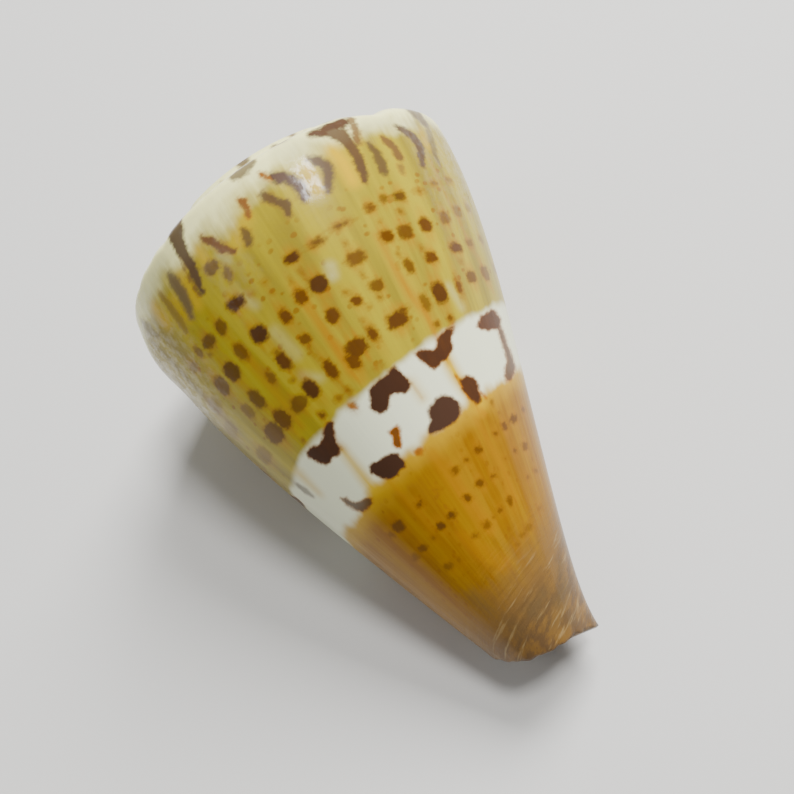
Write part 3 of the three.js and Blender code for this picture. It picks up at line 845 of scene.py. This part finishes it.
def carried(chain):
    """A chain read in pixels, as numbers of skin points and radii in millimetres."""
    chain = np.array(chain, float)
    numbers = on_shell(chain[:, :2])
    return numbers, chain[:, 2] * pixel_length(numbers)


def add_photo_chains(field, chains):
    """Chains of the photograph, their radii over the root of how squarely the skin is seen."""
    for tone, strength, chain in chains:
        numbers, radii = carried(chain)
        widening = 1 / np.sqrt(np.clip(facing[numbers], LEAST_FACING, 1))
        field.add(chain_distance(places[numbers], radii * widening), tone, strength)


def add_photo_dots(field, dots, wider, longer):
    """Dots of the photograph, their widths and heights times two factors, and the widths also
    over how squarely the skin is seen."""
    dots = np.array(dots, float)
    numbers = on_shell(dots[:, :2])
    across = wider * dots[:, 2] * pixel_length(numbers) / np.clip(facing[numbers], LEAST_FACING, 1)
    along = longer * dots[:, 3] * pixel_length(numbers)
    for number, half_width, half_height, (tone, strength) in zip(numbers, across, along, dots[:, 4:]):
        distance = dot_distance(places[number], normals[number], half_width, half_height)
        field.add(distance, tone, strength)


BLOTCH_GROWTH = 0.12             # mm: the outlines as read lie inside the soft edges
DOT_GROWTH = (1.26, 1.2)         # the same for a dot, in width and height
SMEAR_GROWTH = (1.1, 2.4)        # the orange smear above and below a dot, next to the dot's size
blots, dots, smears, flames = Field(), Field(), Field(), Field()
for tone, strength, corners in OUTLINES:
    blots.add(outline_distance(np.array(corners, float)) - BLOTCH_GROWTH, tone, strength)
add_photo_chains(blots, BAND_CHAINS)
add_photo_chains(flames, FLAMES)
add_photo_dots(dots, DOTS, *DOT_GROWTH)
add_photo_dots(smears, DOTS, *SMEAR_GROWTH)
print("skin under blotches: %.1f %%, under dots: %.1f %%"
      % (100 * (blots.values[visible, 0] < 0).mean(), 100 * (dots.values[visible, 0] < 0).mean()))

# %% [markdown]
# ## Markings on the sides that the photograph hides
# The rows of dots run all the way around, and so do the blotches along the white band and
# the flames on the shoulder. Where the photograph doesn't look they are laid out by rule,
# with a seeded chance for their gaps and sizes, and never over the ones read from the photograph.

# %% Markings of the hidden sides
HIDDEN_AGES = ((2.0, 50.0), (217.0, 352.0))
ROW_DEPTHS = (8.9, 12.2, 15.3, 18.7, 32.5, 35.1, 38.05)
BAND_TOP, BAND_BOTTOM = 21.8, 28.6
FIRST_AGE, GAP_CHANCE = (0, 4), (0.7, 1.35)      # start of a row, and its gaps next to the usual
LARGE_DOTS = 2.7, (0.45, 0.75)                   # gap and half width above the band, mm
SMALL_DOTS = 1.9, (0.28, 0.45)                   # the same below it
DOT_LENGTH, DOT_TONE = (0.9, 1.5), (0.15, 0.6)   # height over width, and tone
ROW_SCATTER, SMEAR_LENGTH = 0.2, 2.5
STRENGTH = (0.7, 1.0)
BLOTCH_ROWS = (BAND_TOP + 0.6, BAND_BOTTOM - 0.8)
BLOTCH_GAP, BLOTCH_NODES, BLOTCH_SCATTER = 6.5, (0, 3.5, 7), 0.5
BLOTCH_RADIUS, BLOTCH_TONE = (0.5, 1.0), (0, 0.3)
FLAME_DEPTH, FLAME_GAP, FLAME_LEAN = 3.0, 2.6, 1.0
FLAME_TOP, FLAME_LENGTH = (0.3, 1.8), (1.5, 4.5)
FLAME_WIDTH, FLAME_TONE = (0.35, 0.7), (0.1, 0.5)
FLAME_NODES, FLAME_SHAPE = (0, 0.35, 0.7, 1), np.array([0.7, 1.0, 0.9, 0.4])
SLOPE_STEP = 0.01                # step in the share of the height over which a slope is taken
chance = np.random.default_rng(11)


def skin_spot(age, below):
    """Point, normal and radius of the side at an age and a depth, from the growth formulas:
    the normal leans back from straight outwards by the slope of the side."""
    level = height_at_depth(age, below)
    share = np.clip(level / shoulder_height(age), 0, 1)
    radius = side_radius(age, share)
    widening = side_radius(age, share + SLOPE_STEP) - side_radius(age, share - SLOPE_STEP)
    normal = unit(age) - widening / (2 * SLOPE_STEP * shoulder_height(age)) * UP
    return radius * unit(age) + level * UP, normal / np.linalg.norm(normal), radius


def ages_along(start, end, below, gap):
    """Ages from start to end whose places lie about a gap apart on the skin."""
    found, age = [], start + chance.uniform(*FIRST_AGE)
    while age < end:
        found.append(age)
        radius = skin_spot(age, below)[2]
        age += np.degrees(gap * chance.uniform(*GAP_CHANCE) / radius)
    return found


for start, end in HIDDEN_AGES:
    for below in ROW_DEPTHS:
        gap, half_widths = SMALL_DOTS if below > BAND_BOTTOM else LARGE_DOTS
        for age in ages_along(start, end, below, gap):
            centre, normal, _ = skin_spot(age, below + chance.normal(0, ROW_SCATTER))
            half = chance.uniform(*half_widths)
            distance = dot_distance(centre, normal, half, half * chance.uniform(*DOT_LENGTH))
            dots.add(distance, chance.uniform(*DOT_TONE), chance.uniform(*STRENGTH))
            smears.add(dot_distance(centre, normal, half, SMEAR_LENGTH * half), 0.5, 1.0)
    for below in BLOTCH_ROWS:
        for age in ages_along(start, end, below, BLOTCH_GAP):
            nodes = [skin_spot(age + step, below + chance.normal(0, BLOTCH_SCATTER))[0]
                     for step in BLOTCH_NODES]
            radii = chance.uniform(*BLOTCH_RADIUS, len(nodes))
            blots.add(chain_distance(nodes, radii), chance.uniform(*BLOTCH_TONE), 1.0)
    for age in ages_along(start, end, FLAME_DEPTH, FLAME_GAP):
        top, length = chance.uniform(*FLAME_TOP), chance.uniform(*FLAME_LENGTH)
        nodes = [skin_spot(age + chance.normal(0, FLAME_LEAN), top + length * step)[0]
                 for step in FLAME_NODES]
        radii = chance.uniform(*FLAME_WIDTH) * FLAME_SHAPE
        flames.add(chain_distance(nodes, radii), chance.uniform(*FLAME_TONE), chance.uniform(*STRENGTH))
print("skin under all dots: %.1f %%" % (100 * (dots.values[outside, 0] < 0).mean()))

# %% Rays on the spire
RAY_START, RAY_END = 240.0, 1800.0               # ages of the turns that the rays cover
RAY_GAP, RAY_WIDTH = 24.0, 0.75                  # degrees apart, and half a ray's width in mm
RAY_CHANCE, RAY_TONE, RAY_STRENGTH = (0.6, 1.5), (0.1, 0.45), 0.9
RAY_SHARES, RAY_ANGLE = (0.25, 0.6, 1.0), 40.0   # its places on the ramp and on the rounding
RAY_SHAPE = np.array([0.5, 0.9, 1.3, 1.1])       # how its width changes outwards
LIP_RAY_AGES = [6.0, 24.0, 41.0]                 # rays between the lip and the photograph's
RIM_CHANCE, RIM_TONE, RIM_STRENGTH = (0.7, 1.4), (-0.2, 0.3), 0.85


def ray_across(age, width):
    """A brown ray over the ramp and the rounding, from the suture outwards."""
    outline = [ramp(age, share) for share in RAY_SHARES] + [rounding(age, RAY_ANGLE)]
    return chain_distance(in_space(np.array([age]), np.array([outline]))[0], width * RAY_SHAPE)


def store(name, values):
    """A number or a vector for each point, kept with the mesh for the material to read."""
    kind, key = ("FLOAT_VECTOR", "vector") if values.ndim == 2 else ("FLOAT", "value")
    layer = shell_mesh.attributes.new(name, kind, "POINT")
    layer.data.foreach_set(key, values.astype(np.float32).ravel())


ray_age = RAY_START
while ray_age < RAY_END:
    width = RAY_WIDTH * growth_from_back(ray_age) * chance.uniform(*RAY_CHANCE)
    flames.add(ray_across(ray_age, width), chance.uniform(*RAY_TONE), RAY_STRENGTH)
    ray_age += RAY_GAP * chance.uniform(*RAY_CHANCE)
for ray_age in [*LIP_RAY_AGES, *azimuth[on_shell(RIM_PLACES)]]:
    width = RAY_WIDTH * chance.uniform(*RIM_CHANCE)
    flames.add(ray_across(ray_age, width), chance.uniform(*RIM_TONE), RIM_STRENGTH)
for name, field in (("blots", blots), ("dots", dots), ("smears", smears), ("flames", flames)):
    store(name, field.values)
print("skin under flames and rays: %.1f %%" % (100 * (flames.values[outside, 0] < 0).mean()))

# %% Washes and the place of growth
RING_SCALE = 10.0                # mm: the noise sees the last turn as a ring of this radius
# softness of each wash in mm
ORANGE_SOFTNESS, CLOUD_SOFTNESS, GREY_SOFTNESS, YELLOW_SOFTNESS = 0.55, 0.6, 1.1, 0.9


def soft_cover(chains, softness):
    """Strength times a soft step over the edge of each chain; the strongest one counts."""
    cover = np.zeros(count)
    for strength, chain in chains:
        numbers, radii = carried(chain)
        distance = chain_distance(places[numbers], radii)
        cover = np.maximum(cover, strength * smooth_step(0.5 - distance / softness / 2))
    return cover


# the grey wash is painted shade along the left edge together with grey stains on the base
washes = [soft_cover(ORANGE_LINES, ORANGE_SOFTNESS), soft_cover(PALE_CLOUDS, CLOUD_SOFTNESS),
          soft_cover(GREY_SHADE_AND_STAINS, GREY_SOFTNESS)]
turn_angle = np.radians(azimuth)
store("washes", np.stack(washes, 1))
store("growth_place", np.stack([RING_SCALE * np.cos(turn_angle), RING_SCALE * np.sin(turn_angle), depth], 1))
store("within", ~outside)
store("yellow", soft_cover(YELLOW_PLACES, YELLOW_SOFTNESS))
print("depths from %.1f to %.1f mm" % (depth[outside].min(), depth[outside].max()))

# %% [markdown]
# ## Shader arithmetic
#
# A material is a tree of nodes. `Wire` wraps one output of the tree, so that its sums can be
# written as plain expressions; `Tree` makes any other node from its type, its settings and
# the values of its sockets.

# %% Wires and trees
class Wire:
    """One output of a node tree, on which + - * and / add Math nodes."""

    def __init__(self, tree, socket):
        self.tree, self.socket = tree, socket

    def maths(self, operation, *values):
        """A Math node on numbers or wires, in their order."""
        return self.tree.make("ShaderNodeMath", {"operation": operation}, dict(enumerate(values)))

    def __add__(self, other):
        return self.maths("ADD", self, other)

    def __sub__(self, other):
        return self.maths("SUBTRACT", self, other)

    def __rsub__(self, other):
        return self.maths("SUBTRACT", other, self)

    def __mul__(self, other):
        return self.maths("MULTIPLY", self, other)

    def __truediv__(self, other):
        return self.maths("DIVIDE", self, other)

    def __rtruediv__(self, other):
        return self.maths("DIVIDE", other, self)

    __radd__, __rmul__ = __add__, __mul__

    def at_least(self, floor):
        """The wire's value, or the floor where that is greater."""
        return self.maths("MAXIMUM", self, floor)

    def step(self, start, end):
        """Smooth step: 0 at the start, 1 at the end, held beyond them."""
        sockets = {"Value": self, "From Min": start, "From Max": end}
        return self.tree.make("ShaderNodeMapRange", {"interpolation_type": "SMOOTHSTEP"}, sockets, "Result")

    def part(self, index):
        """One of the three numbers of a vector."""
        return self.tree.make("ShaderNodeSeparateXYZ", {}, {0: self}, index)


class Tree:
    """Makes the nodes of one material."""

    def __init__(self, name):
        self.material = bpy.data.materials.new(name)
        self.material.use_nodes = True
        self.nodes = self.material.node_tree.nodes
        self.links = self.material.node_tree.links
        self.nodes.clear()

    def make(self, kind, settings, sockets, output=0):
        """Any node: its settings come first, then the values or the wires of its sockets."""
        node = self.nodes.new(kind)
        for key, value in settings.items():
            setattr(node, key, value)
        for key, value in sockets.items():
            if isinstance(value, Wire):
                self.links.new(value.socket, node.inputs[key])
            else:
                node.inputs[key].default_value = value
        return Wire(self, node.outputs[output]) if len(node.outputs) else node

    def attribute(self, name, output="Vector"):
        """What the mesh keeps under a name."""
        return self.make("ShaderNodeAttribute", {"attribute_name": name}, {}, output)

    def mix(self, share, one, other):
        """Colour one where the share is 0, the other colour where it is 1."""
        settings = {"data_type": "RGBA", "clamp_factor": True}
        return self.make("ShaderNodeMix", settings, {0: share, 6: one, 7: other}, 2)

    def stretched(self, place, around, down):
        """The place of growth times one factor around the shell and another down it."""
        sockets = {0: place, 1: (around, around, down)}
        return self.make("ShaderNodeVectorMath", {"operation": "MULTIPLY"}, sockets)

    def clouds(self, place, around, down, scale, detail=2.0, roughness=0.5):
        """Clouds of values around a half, on a stretched place."""
        sockets = {"Vector": self.stretched(place, around, down), "Scale": scale,
                   "Detail": detail, "Roughness": roughness}
        return self.make("ShaderNodeTexNoise", {}, sockets, "Fac")


def ink(red, green, blue):
    """A colour named in 0 to 255 screen values, as the linear colour that a shader needs:
    dark values over 12.92, lighter ones shifted by 0.055 and taken to the power of 2.4."""
    value = np.array([red, green, blue]) / 255
    linear = np.where(value <= 0.04045, value / 12.92, ((value + 0.055) / 1.055) ** 2.4)
    return (*[float(part) for part in linear], 1.0)


# %% [markdown]
# ## The shell's material
#
# The colours lie in zones that follow the growing edge: cream on the shoulder, olive yellow
# down to the white band, ochre below it, and tan at the base. Fine streaks along the growth
# lines and faint threads around the shell break every zone up. The markings come last, each
# with a redder rim, as the pigment thins out towards its edge.
#
# The inks are darker and fuller than the colours that they give in the picture, because the
# picture's film response pales every bright colour.

# %% Inks
CREAM = ink(255, 252, 178)
STRAW = ink(174, 157, 32)
OLIVE = ink(138, 121, 32)
WHITE = ink(236, 240, 206)
OCHRE = ink(156, 114, 4)
DEEP_OCHRE = ink(134, 88, 0)
FRINGE = ink(190, 150, 24)
TAN = ink(124, 92, 46)
DUSK = ink(88, 68, 48)
# pale lines on the base's ridges: partly their own paler colour, partly a painted glint along them
PALE_RIDGE_AND_GLINT = ink(170, 146, 100)
ORANGE = ink(172, 114, 0)
YELLOW = ink(206, 168, 0)
CLOUD = ink(206, 204, 150)
GREY = ink(100, 80, 50)
SMOKE = ink(102, 84, 74)
DARK_BROWN = ink(66, 42, 28)
RED_BROWN = ink(106, 62, 26)
FLAME_DARK = ink(84, 62, 46)
FLAME_BROWN = ink(120, 82, 44)
FLAME_ORANGE = ink(164, 100, 20)
ORANGE_BROWN = ink(160, 92, 6)
DOT_DARK = ink(72, 44, 18)
DOT_BROWN = ink(98, 61, 14)
DOT_ORANGE = ink(132, 86, 10)
PORCELAIN = ink(226, 212, 196)
print("porcelain as linear colour:", np.round(PORCELAIN, 3).tolist())

# %% Where the zones change, and the patterns that break them up
# each edge between two zones: how far lumps, streaks and ragged clouds shift it, and its depths, mm
EDGES = {
    "body": (2.5, 0.8, 0, (0.0, 3.8)),
    "band": (0.7, 0.08, 0, (21.5, 22.5)),
    "lower": (1.2, 0.1, 0, (27.8, 29.2)),
    "fringe": (1.0, 0, 0, (28.4, 31.5)),
    "base": (0, 0, 2.0, (39.0, 46.0)),
}
DUSK_START, RIDGE_GLINT_START, RIDGE_START = (43.5, 48.5), (41.0, 46.0), (36.0, 46.0)
WRINKLE_STOP, POLISH_STOP = (3.0, 9.0), (8.0, 20.0)
BODY_STREAKS, BODY_CLOUDS = 0.13, (0.28, 0.78)   # how streaks and clouds share out a zone's inks
LOWER_STREAKS, LOWER_CLOUDS = 0.17, (0.25, 0.8)
DUSK_CLOUDS, DUSK_SHARE = (0.4, 0.6), 0.75
# where the pale ridges with their painted glint lie, and how much they cover
RIDGE_GLINT_CLOUDS, RIDGE_GLINT_SHARE = (0.58, 0.7), 0.5
# each pattern: its stretch around and down the shell, scale, and where given detail and roughness
PATTERNS = {
    "fine": (1.0, 0.06, 3.2, 3.0, 0.55),
    "broad": (1.0, 0.05, 0.9),
    "ragged": (1.0, 0.3, 1.5, 3.0, 0.6),
    "threads": (0.09, 1.0, 1.7, 3.0, 0.6),
    "wrinkles": (1.0, 0.12, 1.4),
    "lumps": (1.0, 0.6, 0.5),
    "patches": (0.35, 1.0, 0.9, 4.0, 0.6),
    "polish": (1.0, 0.4, 2.6, 4.0, 0.7),
    "grain": (1.0, 1.0, 2.2, 3.0, 0.6),
}
SPECK_ZONES = (((5.0, 8.0), (20.6, 21.6)), ((29.0, 31.0), (40.0, 44.0)))
SPECK_STRETCH, SPECK_SCALE, SPECK_SIZE = (1.0, 0.8), 1.1, (0.14, 0.27)
SPECK_RAGGED, SPECK_CLOUDS, SPECK_SHARE = 0.35, (0.38, 0.56), 0.7
# each wash: its share of cover, what streaks and ragged clouds add to that, and its ink
COVERS = {
    "yellow": (1.25, 0.3, 0, YELLOW),
    "lines": (0.75, 0.7, 0, ORANGE),
    "clouds": (0.7, 0, 0.5, CLOUD),
    # the grey wash: painted shade along the left edge, and stains on the base
    "shade_and_stains": (0.8, 0, 0.5, GREY),
    "smears": (0.4, 0.7, 0, ORANGE),
}
SMEAR_SOFTNESS = 0.9             # mm
# each kind of mark: softness of its edge, width of its rim, raggedness, and its three inks
KINDS = {
    "dots": (0.6, 0.2, 0.7, DOT_DARK, DOT_BROWN, DOT_ORANGE),
    "flames": (0.6, 0.12, 0.8, FLAME_DARK, FLAME_BROWN, FLAME_ORANGE),
    "blots": (0.42, 0.26, 0.45, DARK_BROWN, RED_BROWN, ORANGE_BROWN),
}
RIM_LIGHTENING, TONE_CLOUDS = 2.5, 0.12          # tone gained for each mm of rim, and by chance
MIDDLE_TONES, LIGHT_TONES = (0, 0.55), (0.5, 1)  # tones over which one ink turns into the next
VEIL_SOFTNESS = 0.5              # softness gained under thick glaze
RIDGE_HEIGHT, RIDGE_STRENGTH = 0.00016, 0.4      # metres, and how strongly it shades
FINE_RELIEF, THREAD_RELIEF, BASE_RELIEF, WRINKLE_RELIEF = 0.25, 0.12, 2.0, 0.7
ROUGHNESS, STREAK_ROUGHNESS = 0.32, 0.06
COAT, STREAK_COAT, POLISH_COAT, COAT_ROUGHNESS, SHINE = 0.26, 0.16, 0.5, 0.1, 0.12
POLISH_CLOUDS, POLISH_MEAN = (0.42, 0.58), 0.4
print(len(PATTERNS), "patterns and", len(KINDS), "kinds of marks")


# %% The ground colours
def ground(tree, place, below, clouds, streaks, uneven):
    """Each zone's ink covers the one before from its depth down; the clouds shift the depths."""
    lumps = (clouds["lumps"] - 0.5) * 2

    def reached(name):
        lump, streak, ragged, depths = EDGES[name]
        return (below + lumps * lump + streaks * streak + uneven * ragged).step(*depths)

    body = tree.mix((clouds["broad"] + streaks * BODY_STREAKS).step(*BODY_CLOUDS), STRAW, OLIVE)
    lower = tree.mix((clouds["broad"] + streaks * LOWER_STREAKS).step(*LOWER_CLOUDS), OCHRE, DEEP_OCHRE)
    lower = tree.mix(reached("fringe"), FRINGE, lower)
    colour = CREAM
    for name, ink_below in (("body", body), ("band", WHITE), ("lower", lower), ("base", TAN)):
        colour = tree.mix(reached(name), colour, ink_below)
    dusk = clouds["patches"].step(*DUSK_CLOUDS) * below.step(*DUSK_START) * DUSK_SHARE
    # pale threads on the base: the ridges' paler colour together with a painted glint along them
    threads = clouds["threads"].step(*RIDGE_GLINT_CLOUDS) * below.step(*RIDGE_GLINT_START) * RIDGE_GLINT_SHARE
    return tree.mix(threads, tree.mix(dusk, colour, DUSK), PALE_RIDGE_AND_GLINT)


def speckled(tree, colour, place, below, clouds):
    """Specks where a point is near the middle of its cell, in two zones and where clouds allow."""
    cells = {"Vector": tree.stretched(place, *SPECK_STRETCH), "Scale": SPECK_SCALE}
    speck = tree.make("ShaderNodeTexVoronoi", {"feature": "F1"}, cells, "Distance")
    specks = 1 - (speck + (clouds["ragged"] - 0.5) * SPECK_RAGGED).step(*SPECK_SIZE)
    upper, lower = [below.step(*start) * (1 - below.step(*end)) for start, end in SPECK_ZONES]
    share = specks * (upper + lower) * clouds["broad"].step(*SPECK_CLOUDS) * SPECK_SHARE
    return tree.mix(share, colour, DOT_ORANGE)


print("edges between zones:", ", ".join(EDGES))


# %% Washes and marks over the ground
def washed(tree, colour, streaks, uneven):
    """Each wash covers by its own strength times a share that streaks and clouds change."""
    washes, smear = tree.attribute("washes"), tree.attribute("smears")
    trace = (0.5 - smear.part(0) / SMEAR_SOFTNESS).step(0, 1) * smear.part(2)
    strengths = [tree.attribute("yellow", "Fac"), washes.part(0), washes.part(1), washes.part(2), trace]
    for strength, (share, streak, ragged, wash) in zip(strengths, COVERS.values()):
        colour = tree.mix(strength * (share + streaks * streak + uneven * ragged), colour, wash)
    return colour


def marked(tree, colour, grain, uneven):
    """Marks by their distance, tone and strength: lighter inks towards the rim, and a cover
    that falls from 1 to 0 over the softness."""
    for name, (softness, rim, rough, dark, middle, light) in KINDS.items():
        mark = tree.attribute(name)
        edge, veil = mark.part(0) + (grain - 0.5) * rough, (mark.part(1) * -1).at_least(0)
        tone = mark.part(1).at_least(0) + (edge + rim).at_least(0) * RIM_LIGHTENING + uneven * TONE_CLOUDS
        pigment = tree.mix(tone.step(*MIDDLE_TONES), dark, middle)
        pigment = tree.mix(tone.step(*LIGHT_TONES), pigment, light)
        pigment = tree.mix(veil, pigment, SMOKE)
        cover = 0.5 - edge / (softness + veil * VEIL_SOFTNESS)
        colour = tree.mix(cover.step(0, 1) * mark.part(2), colour, pigment)
    return colour


print("washes:", ", ".join(COVERS))


# %% The shell's glaze
def shell_glaze():
    """Ground, washes and marks as one colour; fine ridges; and a coat that is patchy above."""
    tree = Tree("shell_glaze")
    place = tree.attribute("growth_place")
    below = place.part(2)
    clouds = {name: tree.clouds(place, *values) for name, values in PATTERNS.items()}
    streaks, uneven = (clouds["fine"] - 0.5) * 2, (clouds["ragged"] - 0.5) * 2
    colour = ground(tree, place, below, clouds, streaks, uneven)
    colour = washed(tree, speckled(tree, colour, place, below, clouds), streaks, uneven)
    colour = marked(tree, colour, clouds["grain"], uneven)
    colour = tree.mix(tree.attribute("within", "Fac"), colour, PORCELAIN)

    relief = clouds["threads"] * (THREAD_RELIEF + below.step(*RIDGE_START) * BASE_RELIEF)
    relief = clouds["fine"] * FINE_RELIEF + relief
    relief = relief + clouds["wrinkles"] * (1 - below.step(*WRINKLE_STOP)) * WRINKLE_RELIEF
    heights = {"Strength": RIDGE_STRENGTH, "Distance": RIDGE_HEIGHT, "Height": relief}
    ridges = tree.make("ShaderNodeBump", {}, heights, "Normal")
    polish = (clouds["polish"].step(*POLISH_CLOUDS) - POLISH_MEAN) * (1 - below.step(*POLISH_STOP))
    surface = tree.make("ShaderNodeBsdfPrincipled", {}, {
        "Base Color": colour, "Roughness": ROUGHNESS + streaks * STREAK_ROUGHNESS, "Normal": ridges,
        "Coat Weight": COAT + streaks * STREAK_COAT + polish * POLISH_COAT,
        "Coat Roughness": COAT_ROUGHNESS, "Specular IOR Level": SHINE})
    tree.make("ShaderNodeOutputMaterial", {}, {"Surface": surface})
    return tree.material


# %% Placing the shell
shell_mesh.vertices.foreach_set("co", ((laid + shift) * MM).astype(np.float32).ravel())
shell_mesh.polygons.foreach_set("use_smooth", np.ones(len(shell_mesh.polygons), bool))
shell_mesh.materials.clear()
shell_mesh.materials.append(shell_glaze())
shell_mesh.update()
shell = add_object("cone_shell", shell_mesh)
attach(shell, "root")
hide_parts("shell")
print("faces of the shell:", len(shell_mesh.polygons))

# %% [markdown]
# ## Floor and light
#
# A plain pale floor takes the shell's shadow. The main light is a soft window above and to
# the right of the picture. It casts no mirror image of its own, because the photograph shows
# one highlight only: a small window above the back gives that one. A weak window on the left
# and a pale sky fill the shadows.

# %% Floor and light
FLOOR_SIZE = 4.0                 # metres
PAPER = ink(214, 213, 210)
AIM = Vector((0, 0, 0.015))      # the middle of the shell
# each window: direction from the shell, distance and width in metres, power in watts
WINDOWS = {
    "key_window": ((0.7, 0.5, 0.85), 0.55, 0.25, 6.1),
    "gloss_window": ((0.36, 0.02, 0.93), 0.6, 0.13, 2.6),
    "fill_window": ((-0.8, 0.1, 0.9), 0.7, 0.4, 0.5),
}
SKY_STRENGTH = 0.25


def paper_floor():
    """One square around the origin, in matt paper."""
    mesh = bpy.data.meshes.new("floor")
    corners = [(x * FLOOR_SIZE / 2, y * FLOOR_SIZE / 2, 0) for x, y in ((-1, -1), (1, -1), (1, 1), (-1, 1))]
    mesh.from_pydata(corners, [], [(0, 1, 2, 3)])
    tree = Tree("paper")
    surface = tree.make("ShaderNodeBsdfPrincipled", {}, {"Base Color": PAPER, "Roughness": 0.9})
    tree.make("ShaderNodeOutputMaterial", {}, {"Surface": surface})
    mesh.materials.append(tree.material)
    return add_object("floor", mesh)


def window(name, direction, distance, size, power):
    """A square lamp that looks at the shell from a direction."""
    data = bpy.data.lights.new(name, "AREA")
    data.size, data.energy = size, power
    lamp = add_object(name, data)
    towards_lamp = Vector(direction).normalized()
    lamp.location = towards_lamp * distance + AIM
    lamp.rotation_euler = towards_lamp.to_track_quat("Z", "Y").to_euler()
    return lamp


floor = paper_floor()
lamps = {name: window(name, *values) for name, values in WINDOWS.items()}
lamps["key_window"].visible_glossy = False
world = bpy.data.worlds.new("studio")
world.use_nodes = True
sky = world.node_tree.nodes["Background"].inputs
sky["Color"].default_value, sky["Strength"].default_value = (1.0, 1.0, 1.0, 1.0), SKY_STRENGTH
bpy.context.scene.world = world
print("windows:", ", ".join(lamps))
